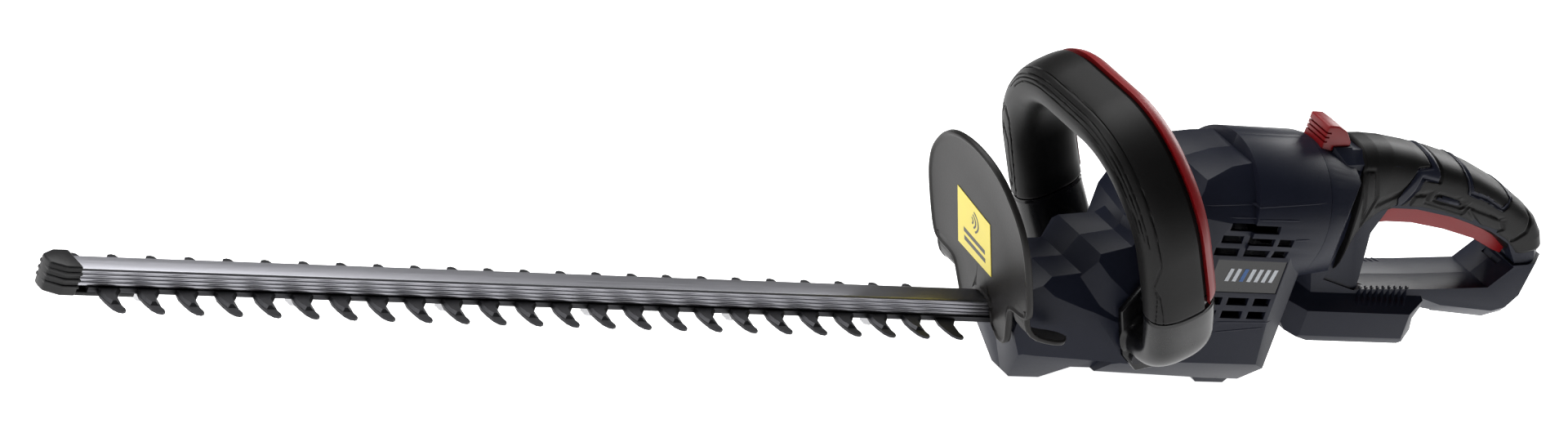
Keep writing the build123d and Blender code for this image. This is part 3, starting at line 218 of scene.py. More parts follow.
soft_light("overhead", (-0.3, 1.1, 2.4), (-0.1, 0.0, 0.05), (2.6, 1.6), 70.0)
soft_light("tip_light", (-2.2, 0.6, 1.1), (-0.1, 0.0, 0.08), (1.2, 1.2), 26.0)
soft_light("rear_light", (1.9, 0.9, 1.0), (0.1, 0.0, 0.08), (1.2, 1.0), 26.0)

bpy.ops.mesh.primitive_plane_add(size=FLOOR_SIZE, location=(0, 0, 0))
floor = newest("floor")
paper = Finish("white_paper")
paper.set(
    Base_Color=paper.blend(paper.noise(0.6), rgb(0.90, 0.90, 0.905), rgb(0.92, 0.92, 0.92)),
    Roughness=0.9,
    Emission_Color=rgb(1.0, 1.0, 1.0),
    Emission_Strength=1.0,
)
coat(floor, paper)

# The moulded plastics and metals of the whole tool. Each has the fine mould or grinding texture of the
# real material, with slight changes of colour and gloss over its surface.


def moulded(name, dark, light, rough, grain=0.0009, depth=0.00004, gloss=0.3):
    """A moulded plastic with a fine spark-eroded texture."""
    finish = Finish(name)
    cloud = finish.noise(0.03, 3.0)
    grit = finish.noise(grain, 2.0, 0.6)
    finish.set(
        Base_Color=finish.blend(cloud, rgb(*dark), rgb(*light)),
        Roughness=cloud * 0.08 + grit * 0.06 + (rough - 0.07),
    )
    finish.shader.inputs["Specular IOR Level"].default_value = gloss
    finish.bump(grit, depth)
    return finish


def machined(name, colour, rough, along=(1.0, 1.0, 1.0), streak=0.0012, metal=1.0):
    """A bare metal with fine marks drawn out along one direction."""
    finish = Finish(name)
    lines = finish.noise(streak, 3.0, 0.6, along)
    cloud = finish.noise(0.02, 2.0)
    lighter = tuple(min(1.0, value * 1.25) for value in colour)
    finish.set(
        Base_Color=finish.blend((lines * 0.7 + cloud * 0.3).clamped(), rgb(*colour), rgb(*lighter)),
        Roughness=lines * 0.16 + (rough - 0.08),
        Metallic=metal,
    )
    finish.bump(lines, 0.00003)
    return finish


navy_plastic = moulded("navy_plastic", (0.0085, 0.0100, 0.0185), (0.0125, 0.0145, 0.0260), 0.40, gloss=0.15)
black_plastic = moulded("black_plastic", (0.006, 0.006, 0.0065), (0.010, 0.010, 0.011), 0.45)
gloss_black = moulded(
    "gloss_black", (0.0022, 0.0022, 0.0025), (0.0035, 0.0035, 0.004), 0.26, 0.004, 0.00001, 0.4
)
grip_rubber = moulded(
    "grip_rubber", (0.0035, 0.0033, 0.0033), (0.0058, 0.0056, 0.0056), 0.46, 0.0006, 0.00004, 0.17
)
red_plastic = moulded(
    "red_plastic", (0.185, 0.003, 0.005), (0.235, 0.005, 0.007), 0.38, 0.0012, 0.00002, 0.35
)
guard_plastic = moulded(
    "guard_plastic", (0.0095, 0.0088, 0.0086), (0.013, 0.0122, 0.0118), 0.42, 0.0011, 0.00003, 0.18
)
board_green = moulded("board_green", (0.01, 0.10, 0.03), (0.02, 0.14, 0.05), 0.4)
bar_metal = machined("bar_aluminium", (0.30, 0.30, 0.325), 0.38, (0.02, 1.0, 1.0))
blade_metal = machined("blade_steel", (0.028, 0.028, 0.031), 0.42, (1.0, 0.08, 1.0), 0.0015, 0.75)
gear_metal = machined("gear_steel", (0.34, 0.34, 0.35), 0.3)
cast_metal = machined("cast_alloy", (0.42, 0.42, 0.43), 0.55)
zinc_metal = machined("zinc_steel", (0.40, 0.40, 0.41), 0.34)
copper_metal = machined("copper_alloy", (0.62, 0.35, 0.14), 0.35)
magnet_black = moulded("magnet_black", (0.03, 0.03, 0.03), (0.05, 0.05, 0.05), 0.6)
carbon_black = moulded("carbon_black", (0.01, 0.01, 0.01), (0.02, 0.02, 0.02), 0.7)

FINISHES = {
    "navy_plastic": navy_plastic, "black_plastic": black_plastic, "gloss_black": gloss_black,
    "soft_grip": grip_rubber, "red_plastic": red_plastic, "guard_plastic": guard_plastic,
    "board": board_green, "bar_aluminium": bar_metal, "blade_steel": blade_metal, "gear_steel": gear_metal,
    "cast_alloy": cast_metal, "zinc_steel": zinc_metal, "copper_alloy": copper_metal,
    "magnet": magnet_black, "carbon": carbon_black,
}
for part in frame["record"]["subparts"]:
    coat(nodes[part["node"]], FINISHES[part["material_slot"]])

# The guide bar is a drawn aluminium section, anodised grey, with three grooves down each side. Its
# arrises are broken, and fine draw marks run along it.
MM = 0.001
BAR_ARRIS = 0.25


def merged_copy(name, *sources):
    """One closed mesh made from copies of CAD nodes, with flat areas in one face each."""
    bpy.ops.object.select_all(action="DESELECT")
    copies = []
    for source in sources:
        twin = bpy.data.objects.new(name, nodes[source].data.copy())
        bpy.context.scene.collection.objects.link(twin)
        twin.select_set(True)
        copies.append(twin)
    bpy.context.view_layer.objects.active = copies[0]
    if len(copies) > 1:
        bpy.ops.object.join()
    piece = newest(name)
    alone(piece)
    bpy.ops.object.mode_set(mode="EDIT")
    bpy.ops.mesh.select_all(action="SELECT")
    bpy.ops.mesh.remove_doubles(threshold=0.000002)
    bpy.ops.mesh.dissolve_limited(angle_limit=math.radians(0.5))
    bpy.ops.object.mode_set(mode="OBJECT")
    return piece


def rounded(piece, width, segments=2, angle=28.0, clamp=True):
    """Breaks the sharp edges of a piece by a width in mm."""
    alone(piece)
    bevel = piece.modifiers.new("arris", "BEVEL")
    bevel.width = width * MM
    bevel.segments = segments
    bevel.limit_method = "ANGLE"
    bevel.angle_limit = math.radians(angle)
    bevel.use_clamp_overlap = clamp
    bevel.harden_normals = False
    bpy.ops.object.modifier_apply(modifier="arris")
    return piece


def shaded(piece, angle=35.0):
    alone(piece)
    bpy.ops.object.shade_smooth_by_angle(angle=math.radians(angle))
    return piece


def placed(piece, finish, slot, body, *replaced):
    """Hands a finished piece its finish and the body that it rides on. The slot argument is not used."""
    coat(piece, finish)
    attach(piece, body)
    if replaced:
        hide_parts(*replaced)
    return piece


bar = shaded(rounded(merged_copy("guide_bar_extrusion", "guide_bar"), BAR_ARRIS))
placed(bar, bar_metal, "bar_aluminium", "root", "guide_bar")

# The two blades are punched from tool steel and blackened. The teeth of the upper blade are short and
# ground to a bevel on both flanks; those of the lower blade are longer, with blunt rounded tips.
TOOTH_PITCH = 22.0
FIRST_TOOTH = -575.0
BLADE_T = 1.3
LOWER_Z = 32.0
UPPER_Z = 33.4
COMB_HALF = 8.5
BLADE_BACK = -9.0
BLADE_TIP = -583.0
STROKE_SLOT = 5.9
BOLT_RADIUS = 3.0
SLOT_SIDE = 3.1
BOLT_AT = [-548.0 + 88.0 * count for count in range(6)]


def slab(name, outline, low, high, at):
    """A closed outline given thickness. at(u, v, h) is where a point of it lies, in mm."""
    bpy.ops.object.select_all(action="DESELECT")
    bpy.ops.mesh.primitive_circle_add(vertices=len(outline), fill_type="NGON")
    piece = newest(name)
    for vert, (u, v) in zip(piece.data.vertices, outline):
        vert.co = Vector(at(u, v, low)) * MM
    lift = (Vector(at(0.0, 0.0, high)) - Vector(at(0.0, 0.0, low))) * MM
    bpy.ops.object.mode_set(mode="EDIT")
    bpy.ops.mesh.select_all(action="SELECT")
    bpy.ops.mesh.extrude_region_move(TRANSFORM_OT_translate={"value": lift})
    bpy.ops.mesh.select_all(action="SELECT")
    bpy.ops.mesh.normals_make_consistent(inside=False)
    bpy.ops.object.mode_set(mode="OBJECT")
    return piece


def box_outline(left, right, low, high):
    """The corners of an upright rectangle, in turn."""
    return [(left, low), (right, low), (right, high), (left, high)]


def carved(piece, tool, operation="DIFFERENCE"):
    """Cuts a piece by a tool, joins the two or keeps what they share. The tool is used up."""
    alone(piece)
    cut = piece.modifiers.new("cut", "BOOLEAN")
    cut.operation = operation
    cut.solver = "EXACT"
    cut.object = tool
    bpy.ops.object.modifier_apply(modifier="cut")
    bpy.data.objects.remove(tool)
    return piece


def joined(name, pieces):
    bpy.ops.object.select_all(action="DESELECT")
    for piece in pieces:
        piece.select_set(True)
    bpy.context.view_layer.objects.active = pieces[0]
    bpy.ops.object.join()
    return newest(name)


def twin_of(piece, move):
    """A copy of a piece with its own mesh, moved by a vector in mm."""
    twin = bpy.data.objects.new(piece.name, piece.data.copy())
    bpy.context.scene.collection.objects.link(twin)
    twin.data.transform(Matrix.Translation(Vector(move) * MM))
    return twin


def mirror_of(piece):
    """A copy of a piece on the other side of the tool, with its faces turned to point outwards."""
    twin = bpy.data.objects.new(piece.name, piece.data.copy())
    bpy.context.scene.collection.objects.link(twin)
    twin.data.transform(Matrix.Scale(-1.0, 4, (0.0, 1.0, 0.0)))
    twin.data.flip_normals()
    return twin


def upright(u, v, h):
    """Lays an outline in the plane of the tool's side view."""
    return (u, h, v)


def flat(height):
    return lambda u, v, h: (u, v, height + h)


LONG_TOOTH = [
    (-2.2, -7.5), (-3.9, -14.0), (-3.6, -20.0), (-2.6, -25.5), (-0.6, -28.4), (1.8, -29.0), (3.6, -28.2),
    (4.2, -26.2), (3.8, -23.0), (5.4, -15.0), (9.8, -9.5), (10.4, -7.5),
]
SHORT_TOOTH = [
    (-2.6, -7.5), (-3.9, -12.0), (-3.5, -17.5), (-1.9, -22.2), (3.0, -22.2), (4.4, -18.0), (6.0, -13.0),
    (10.0, -9.0), (10.6, -7.5),
]
GROUND = 1.5


def tooth(name, outline, ground):
    """One tooth, ground to a bevel along its flanks and tip where it is an upper one."""
    piece = slab(name, outline, 0.0, BLADE_T, flat(0.0))
    if ground:
        for vert in piece.data.vertices:
            if vert.co.z > BLADE_T * MM / 2 and vert.co.y < -8.0 * MM:
                middle = (1.0 if vert.co.y > -18.0 * MM else 0.7) * MM
                vert.co.x += ground * MM * (1.0 if vert.co.x < middle else -1.0)
                if vert.co.y < -20.0 * MM:
                    vert.co.y += ground * MM
    return piece


def comb(name, outline, count, low, ground):
    """A whole blade: its spine with the slots for the bolts, and its teeth on both sides."""
    spine = box_outline(BLADE_TIP, BLADE_BACK, -COMB_HALF, COMB_HALF)
    blade = slab(name, spine, 0.0, BLADE_T, flat(low))
    for place in BOLT_AT:
        slot_half = STROKE_SLOT + BOLT_RADIUS
        hole = box_outline(place - slot_half, place + slot_half, -SLOT_SIDE, SLOT_SIDE)
        carved(blade, slab("slot", hole, -1.0, BLADE_T + 1.0, flat(low)))
    first = tooth("tooth", outline, ground)
    teeth = [twin_of(first, (FIRST_TOOTH + TOOTH_PITCH * number, 0.0, low)) for number in range(count)]
    teeth += [mirror_of(piece) for piece in teeth]
    bpy.data.objects.remove(first)
    return shaded(joined(name, [blade] + teeth), 20.0)


lower_comb = comb("lower_comb", LONG_TOOTH, 24, LOWER_Z, 0.0)
placed(lower_comb, blade_metal, "blade_steel", "lower_blade", "lower_blade")
upper_comb = comb("upper_comb", SHORT_TOOTH, 23, UPPER_Z, GROUND)
placed(upper_comb, blade_metal, "blade_steel", "upper_blade", "upper_blade")

# The cap on the tip of the bar is moulded in black plastic. It is wider than the bar, with a blunt
# chamfered nose and three ribs round its sides, and its tongue runs back under the blades.
CAP_BACK = -589.0
CAP_LOW = 29.6
CAP_HIGH = 46.0
CAP_NOSE = [(CAP_BACK, -9.0), (CAP_BACK - 9.0, -9.0), (CAP_BACK - 16.6, -4.4), (CAP_BACK - 17.0, 0.0)]
cap_outline = CAP_NOSE + [(u, -v) for u, v in reversed(CAP_NOSE[:-1])]
cap = rounded(slab("cap_block", cap_outline, CAP_LOW, CAP_HIGH, flat(0.0)), 1.2, 3)
cap_parts = [cap]
for rib_z in (34.0, 37.6, 41.2):
    rib = [(u - (0.3 if u < CAP_BACK else 0.0), v * 1.1) for u, v in cap_outline if u > CAP_BACK - 16.8]
    cap_parts.append(rounded(slab("cap_rib", rib, rib_z, rib_z + 1.7, flat(0.0)), 0.5))
tongue = [(CAP_BACK, -8.0), (-556.0, -8.0), (-556.0, 8.0), (CAP_BACK, 8.0)]
cap_parts.append(rounded(slab("cap_tongue", tongue, CAP_LOW, CAP_LOW + 2.1, flat(0.0)), 0.4))
plug = [(CAP_BACK - 1.0, -5.1), (-556.5, -5.1), (-556.5, 5.1), (CAP_BACK - 1.0, 5.1)]
cap_parts.append(slab("cap_plug", plug, 37.4, 40.5, flat(0.0)))
tip_cap = shaded(joined("bar_tip_cap", cap_parts))
placed(tip_cap, black_plastic, "black_plastic", "root", "tip_cap")

# The hand guard is a shield of dark plastic that leans forward in front of the loop handle. A beaded
# rim runs round it, and its two lower corners bend back in flaps along the housing.
GUARD_FOOT = (-31.5, 0.0, 30.0)
GUARD_LEAN = math.radians(25.0)
GUARD_SHAPE = [
    (8.6, 16.4), (9.4, -5.0), (22.0, -5.0), (25.0, 9.0), (27.5, 21.0), (30.0, 24.5), (45.0, 25.5),
    (48.5, 31.0), (49.6, 45.0), (49.8, 62.0), (48.5, 74.0), (44.5, 86.0), (37.5, 96.0), (29.0, 105.0),
    (18.0, 110.5), (6.0, 113.0),
]
SHIELD_THICK = 2.4


def guard_point(u, v, h):
    """A point of the shield: u to the side, v up it, h out of its front."""
    x, y, z = GUARD_FOOT
    lean_cos, lean_sin = math.cos(GUARD_LEAN), math.sin(GUARD_LEAN)
    return (x - v * lean_sin - h * lean_cos, y + u, z + v * lean_cos - h * lean_sin)


def softened_line(points, passes=2):
    """Cuts the corners of a closed line, again and again, until it is round."""
    line = [Vector(point) for point in points]
    for _ in range(passes):
        line = [
            here.lerp(there, share)
            for here, there in zip(line, line[1:] + line[:1])
            for share in (0.25, 0.75)
        ]
    return line


def wrapped(name, across, along, place, seal=True):
    """A grid of faces that place(s, t), with both shares from 0 to 1, lays out in mm."""
    bpy.ops.object.select_all(action="DESELECT")
    bpy.ops.mesh.primitive_grid_add(x_subdivisions=across, y_subdivisions=along, size=1.0)
    piece = newest(name)
    for vert in piece.data.vertices:
        vert.co = Vector(place(vert.co.x + 0.5, vert.co.y + 0.5)) * MM
    bpy.ops.object.mode_set(mode="EDIT")
    bpy.ops.mesh.select_all(action="SELECT")
    bpy.ops.mesh.remove_doubles(threshold=0.000004)
    if seal:
        bpy.ops.mesh.fill_holes(sides=0)
    bpy.ops.mesh.select_all(action="SELECT")
    bpy.ops.mesh.normals_make_consistent(inside=False)
    bpy.ops.object.mode_set(mode="OBJECT")
    return piece


def polar_plate(name, line, rim, thick, bead, at, dish=0.0):
    """A plate inside a closed line, with a bead round its edge and a slight dish."""
    count = len(line)
    middle = sum(line, Vector((0.0, 0.0))) / count
    # each ring: share of the way to the edge, inward step from the edge, height of the face
    rings = [
        (0.0, 0.0, 0.0), (0.3, 0.0, 0.0), (0.6, 0.0, 0.0), (1.0, rim + 1.2, 0.0), (1.0, rim, 0.2 * bead),
        (1.0, rim * 0.75, 0.85 * bead), (1.0, rim * 0.45, bead), (1.0, rim * 0.15, 0.7 * bead),
        (1.0, 0.0, 0.1 * bead),
    ]
    profile = [(share, step, thick / 2 + lift) for share, step, lift in rings]
    profile += [(share, step, -thick / 2 - lift * 0.6) for share, step, lift in reversed(rings)]

    def place(s, t):
        number = int(round(s * count)) % count
        share, step, height = profile[int(round(t * (len(profile) - 1)))]
        edge = line[number]
        inward = (line[(number + 1) % count] - line[number - 1]).normalized()
        normal = Vector((-inward.y, inward.x))
        if normal.dot(middle - edge) < 0:
            normal = -normal
        spot = middle.lerp(edge + normal * step, share)
        curve = dish * (1.0 - min(1.0, (spot - middle).length / 50.0) ** 2)
        return at(spot.x, spot.y, height - curve)

    return shaded(wrapped(name, count, len(profile) - 1, place, seal=False), 50.0)


shield_line = softened_line(GUARD_SHAPE + [(-u, v) for u, v in reversed(GUARD_SHAPE)])
shield = polar_plate("shield", shield_line, 2.2, SHIELD_THICK, 0.9, guard_point)
FLAP_MIDDLE = 38.2
FLAP_HALF = 7.2
FLAP_PATH = [
    (-44.8, 58.5), (-43.0, 54.5), (-41.3, 50.8), (-39.0, 47.4), (-35.5, 44.6), (-31.0, 42.6), (-25.5, 41.4),
    (-20.0, 40.7), (-14.0, 40.4), (-9.0, 40.6),
]


def flap_point(side):
    """The plate that bends back from the lower corner of the shield, along the housing."""
    path = [Vector(point) for point in FLAP_PATH]

    def place(s, t):
        reach = t * (len(path) - 1)
        number = min(int(reach), len(path) - 2)
        spot = path[number].lerp(path[number + 1], reach - number)
        ahead = (path[min(number + 2, len(path) - 1)] - path[max(number - 1, 0)]).normalized()
        upward = Vector((-ahead.y, ahead.x))
        angle = 2 * math.pi * s
        end = max(0.0, (t - 0.8) / 0.2)
        width = FLAP_HALF * math.sqrt(max(0.02, 1.0 - end ** 2))
        across = width * math.copysign(abs(math.cos(angle)) ** 0.5, math.cos(angle))
        bead = 0.7 if across * side * side > width * 0.72 else 0.0
        thick = (1.2 + bead) * math.copysign(abs(math.sin(angle)) ** 0.6, math.sin(angle))
        spot = spot + upward * thick
        return (spot.x, side * (FLAP_MIDDLE + across), spot.y)

    return place


flaps = []
LUG = [(-41.0, 50.0), (-28.2, 50.0), (-28.2, 57.0), (-44.0, 57.0)]
for side in (-1.0, 1.0):
    flaps.append(shaded(wrapped("flap", 40, 54, flap_point(side)), 60.0))
    lug = slab("lug", LUG, side * 9.5, side * 17.5, upright)
    flaps.append(shaded(rounded(lug, 0.6)))
guard = joined("guard_shield", [shield] + flaps)
placed(guard, guard_plastic, "guard_plastic", "root", "hand_guard")

# The label on the guard is printed yellow film under a clear coat. It carries a plain generic sign,
# a ring of arcs and two bars, and no lettering.
LABEL_CORNERS = [(19.0, 76.0), (-13.0, 69.0), (-11.0, 34.0), (22.0, 38.0)]
LABEL_LIFT = SHIELD_THICK / 2 + 0.05
label = rounded(slab("guard_label", LABEL_CORNERS, LABEL_LIFT, LABEL_LIFT + 0.25, guard_point), 0.1, 1)
label_film = Finish("label_film")
label_film.set(
    Base_Color=label_film.blend(label_film.noise(0.01, 3.0), rgb(0.62, 0.50, 0.030), rgb(0.68, 0.56, 0.045)),
    Roughness=label_film.noise(0.02) * 0.1 + 0.32,
)
label_film.bump(label_film.noise(0.004), 0.00002)
placed(label, label_film, "guard_plastic", "root")
sign_parts = []
for radius in (3.0, 5.6, 8.2):
    arc = []
    for step in range(13):
        angle = math.radians(-60.0 + step * 10.0)
        arc.append((7.0 - radius * math.cos(angle), 61.0 + radius * math.sin(angle)))
    for step in reversed(range(13)):
        angle = math.radians(-60.0 + step * 10.0)
        arc.append((7.0 - (radius - 1.2) * math.cos(angle), 61.0 + (radius - 1.2) * math.sin(angle)))
    sign_parts.append(slab("arc", arc, LABEL_LIFT + 0.2, LABEL_LIFT + 0.3, guard_point))
for low, high in ((47.0, 50.0), (41.5, 44.5)):
    bar_sign = [(15.0, low + 1.6), (-6.0, low - 1.6), (-6.0, high - 1.6), (15.0, high + 1.6)]
    sign_parts.append(slab("bar", bar_sign, LABEL_LIFT + 0.2, LABEL_LIFT + 0.3, guard_point))
sign = joined("label_sign", sign_parts)
label_ink = moulded("label_ink", (0.035, 0.032, 0.028), (0.05, 0.046, 0.04), 0.4)
placed(sign, label_ink, "guard_plastic", "root")

# The front loop handle is a hollow bar of glossy black plastic in two shells, bolted to each side of the
# housing through a foot plate. Above the elbows it wears a moulded rubber grip with grooves and panels.
LOOP_FOOT = Vector((50.0, 0.0, 48.0))
LOOP_LEAN = math.radians(29.0)
LOOP_NORMAL = Vector((math.cos(LOOP_LEAN), 0.0, math.sin(LOOP_LEAN)))
LOOP_RISE = Vector((-math.sin(LOOP_LEAN), 0.0, math.cos(LOOP_LEAN)))
LOOP_HALF_LINE = [(36.8, 0.0), (58.0, 0.0), (67.0, 35.0), (67.0, 92.0), (38.0, 128.0)]
LOOP_RADII = [16.0, 100.0, 60.0, 45.0]
LOOP_DEPTH = 20.0
LOOP_THICK = 12.0
SEAM_RISE = 33.0


def arced(points, radii, step=1.2):
    """A bent line with rounded corners, as points close together."""
    line = [Vector(points[0])]
    for before, corner, after, radius in zip(points, points[1:], points[2:], radii):
        corner = Vector(corner)
        back = (Vector(before) - corner).normalized()
        onward = (Vector(after) - corner).normalized()
        half = back.angle(onward) / 2
        centre = corner + (back + onward).normalized() * (radius / math.sin(half))
        first = corner + back * (radius / math.tan(half)) - centre
        last = corner + onward * (radius / math.tan(half)) - centre
        turn = first.angle(last)
        count = max(3, int(radius * turn / step))
        for number in range(count + 1):
            share = number / count
            spoke = (first * math.sin((1 - share) * turn) + last * math.sin(share * turn)) / math.sin(turn)
            line.append(centre + spoke)
    line.append(Vector(points[-1]))
    return line


class Track:
    """A line that can be asked for its place and direction at any distance along it."""

    def __init__(self, line):
        self.line = line
        self.marks = [0.0]
        for here, there in zip(line, line[1:]):
            self.marks.append(self.marks[-1] + (there - here).length)
        self.length = self.marks[-1]

    def at(self, distance):
        distance = min(max(distance, 0.0), self.length)
        low, high = 0, len(self.marks) - 1
        while high - low > 1:
            number = (low + high) // 2
            if self.marks[number] <= distance:
                low = number
            else:
                high = number
        share = (distance - self.marks[low]) / max(1e-9, self.marks[high] - self.marks[low])
        spot = self.line[low].lerp(self.line[high], share)
        first = self.line[max(low - 1, 0)]
        last = self.line[min(high + 1, len(self.line) - 1)]
        return spot, (last - first).normalized()


loop_corners = [(-u, v) for u, v in LOOP_HALF_LINE] + LOOP_HALF_LINE[::-1]
loop_track = Track(arced(loop_corners, LOOP_RADII + LOOP_RADII[::-1]))
loop_middle = loop_track.length / 2
seam_at = next(mark for mark, spot in zip(loop_track.marks, loop_track.line) if spot.y > SEAM_RISE)


def loop_point(distance, depth, outward):
    """A point by its distance along the loop, and its place in the section."""
    spot, ahead = loop_track.at(distance)
    out = Vector((-ahead.y, ahead.x)) * outward
    return LOOP_FOOT + Vector((0.0, spot.x + out.x, 0.0)) + LOOP_RISE * (spot.y + out.y) + LOOP_NORMAL * depth


def oval(angle, depth, thick, square=2.45):
    """A rounded section: angle 0 faces the rear, a quarter turn faces outward."""
    power = 2.0 / (square + (0.1 if math.sin(angle) > 0 else 0.0))
    across = math.copysign(abs(math.cos(angle)) ** power, math.cos(angle))
    outward = math.copysign(abs(math.sin(angle)) ** power, math.sin(angle))
    return depth * across, thick * outward


def groove_depth(spot, lines, width, depth):
    """How deep a groove is at a spot near any of some bent lines."""
    nearest = width
    for line in lines:
        for (u0, v0), (u1, v1) in zip(line, line[1:]):
            if min(u0, u1) - width > spot[0] or max(u0, u1) + width < spot[0]:
                continue
            run_u, run_v = u1 - u0, v1 - v0
            share = ((spot[0] - u0) * run_u + (spot[1] - v0) * run_v) / (run_u * run_u + run_v * run_v + 1e-9)
            share = min(max(share, 0.0), 1.0)
            gap = math.hypot(spot[0] - u0 - share * run_u, spot[1] - v0 - share * run_v)
            nearest = min(nearest, gap)
    return depth * (1.0 - (nearest / width) ** 2) if nearest < width else 0.0


# grooves of the loop's grip: distance from the top of the loop, and place round the section in degrees
LOOP_GROOVES = [
    [
        (-112.0, 150.0), (-100.0, 128.0), (-60.0, 122.0), (0.0, 120.0), (60.0, 124.0), (78.0, 152.0),
        (74.0, 176.0),
    ],
    [(-88.0, 146.0), (-50.0, 139.0), (0.0, 136.0), (48.0, 140.0), (62.0, 150.0)],
    [(-84.0, 154.0), (-50.0, 149.0), (0.0, 147.0), (44.0, 150.0), (56.0, 158.0)],
    [(-80.0, 163.0), (-50.0, 160.0), (0.0, 158.0), (40.0, 160.0), (50.0, 166.0)],
    [
        (74.0, 174.0), (82.0, 162.0), (96.0, 158.0), (134.0, 164.0), (140.0, 176.0), (134.0, 188.0),
        (96.0, 196.0), (82.0, 190.0), (74.0, 174.0),
    ],
    [
        (88.0, 174.0), (98.0, 168.0), (126.0, 171.0), (130.0, 177.0), (126.0, 182.0), (98.0, 184.0),
        (88.0, 174.0),
    ],
    [(-170.0, 170.0), (-150.0, 164.0), (-120.0, 146.0), (-112.0, 150.0)],
    [(-170.0, 142.0), (-150.0, 136.0), (-120.0, 138.0), (-112.0, 150.0)],
    [(-170.0, 170.0), (-170.0, 142.0)],
]
STRIP_HALF = 4.8
STRIP_FLOOR = 13.6
# the rebate that the bail sinks into when it is pressed
REBATE = 3.2
REBATE_EDGE = math.radians(69.0)
REBATE_RAMP = math.radians(3.0)
GRIP_ACROSS = 176
GRIP_ALONG = 420
strip_edge = next(
    step / 1000 for step in range(1, 900) if oval(step / 1000, LOOP_DEPTH, LOOP_THICK)[1] > STRIP_HALF
)


def grip_point(s, t):
    distance = seam_at + 0.3 + t * (loop_track.length - 2 * seam_at - 0.6)
    edge = 3.0 / GRIP_ACROSS
    if s < edge or s > 1.0 - edge:
        depth, outward = oval(strip_edge, LOOP_DEPTH, LOOP_THICK)
        share = min(s, 1.0 - s) / edge
        depth = STRIP_FLOOR if share < 0.9 else depth
        outward = STRIP_HALF * (min(1.0, share * 1.5))
        if s < 0.5:
            return loop_point(distance, depth, outward)
        return loop_point(distance, depth, -outward)
    angle = strip_edge + (s - edge) / (1.0 - 2 * edge) * (2 * math.pi - 2 * strip_edge)
    depth, outward = oval(angle, LOOP_DEPTH, LOOP_THICK)
    if angle < REBATE_EDGE:
        rebate = REBATE * min(1.0, (REBATE_EDGE - angle) / REBATE_RAMP)
        reach = math.hypot(depth, outward)
        depth, outward = depth * (1 - rebate / reach), outward * (1 - rebate / reach)
    if 0.25 * math.pi < angle < 1.75 * math.pi:
        sunk = groove_depth((distance - loop_middle, math.degrees(angle)), LOOP_GROOVES, 1.7, 0.9)
        reach = math.hypot(depth, outward)
        depth, outward = depth * (1 - sunk / reach), outward * (1 - sunk / reach)
    lip = min(distance - seam_at, loop_track.length - seam_at - distance)
    if lip < 1.5:
        shrink = 1.0 - 0.06 * (1.0 - max(0.0, lip - 0.3) / 1.2)
        depth, outward = depth * shrink, outward * shrink
    return loop_point(distance, depth, outward)


loop_grip = shaded(wrapped("loop_grip_rubber", GRIP_ACROSS, GRIP_ALONG, grip_point), 50.0)
placed(loop_grip, grip_rubber, "soft_grip", "root", "front_handle_grip")


def leg_point(near):
    def place(s, t):
        reach = t * (seam_at + 6.0)
        distance = reach if near else loop_track.length - reach
        depth, outward = oval(2 * math.pi * s, LOOP_DEPTH, LOOP_THICK, 2.3)
        beyond = reach - (seam_at - 1.2)
        shrink = 1.0 if beyond < 0 else (0.965 if beyond < 1.2 else 0.86)
        flare = 1.0 + 0.10 * max(0.0, 1.0 - reach / 4.0) ** 2
        return loop_point(distance, depth * shrink * flare, outward * shrink * flare)

    return place


FOOT_OUTLINE = [
    (24.0, 56.0), (33.0, 73.0), (60.0, 71.0), (66.0, 44.0), (60.0, 24.0), (48.0, 21.0), (36.0, 30.0),
]
leg_parts = []
for side in (-1.0, 1.0):
    leg_parts.append(shaded(wrapped("leg", 72, 90, leg_point(side < 0)), 60.0))
    plate = slab("foot_plate", FOOT_OUTLINE, side * 33.0, side * 37.0, upright)
    leg_parts.append(shaded(rounded(plate, 0.9, 3)))
legs = joined("loop_legs", leg_parts)
placed(legs, gloss_black, "gloss_black", "root", "front_handle_front", "front_handle_rear")

# The second switch is a red bail that runs round the rear edge of the loop, so that it can be pressed
# with the hand anywhere on the grip. It is moulded with a crowned back.
BAIL_LOW = 12.6
BAIL_INSIDE = -4.2
BAIL_EDGE = math.radians(59.0)
BAIL_ARC = 0.8


def bail_point(s, t):
    inset = seam_at + 1.6
    run = loop_track.length - 2 * inset
    drop = 3.0 * (1.0 - min(1.0, min(t, 1.0 - t) * run / 5.0)) ** 2
    if s < BAIL_ARC:
        depth, outward = oval(BAIL_EDGE * (2.0 * s / BAIL_ARC - 1.0), LOOP_DEPTH + 0.8, LOOP_THICK + 0.3)
        depth = max(BAIL_LOW, depth - drop)
    else:
        edge = oval(BAIL_EDGE, LOOP_DEPTH + 0.8, LOOP_THICK + 0.3)[1]
        depth, outward = BAIL_LOW, edge * (1.0 - 2.0 * (s - BAIL_ARC) / (1.0 - BAIL_ARC))
    return loop_point(inset + t * run, depth, max(outward, BAIL_INSIDE))


bail = shaded(wrapped("red_bail", 48, 300, bail_point), 50.0)
placed(bail, red_plastic, "red_plastic", "front_bail", "front_switch_bail")


# The gear and motor housing is moulded in two half shells of navy glass-filled nylon, screwed together
# on the centre plane. The shells keep their ribs and bosses, and their outer arrises are rounded.
HOUSING_ARRIS = 1.1


def moulded_copy(name, source, arris, segments=3, angle=24.0):
    """A merged copy of a moulding with its edges rounded."""
    return shaded(rounded(merged_copy(name, source), arris, segments, angle), 32.0)


for source in ("housing_left", "housing_right"):
    shell = moulded_copy(source + "_shell", source, HOUSING_ARRIS)
    placed(shell, navy_plastic, "navy_plastic", "root", source)

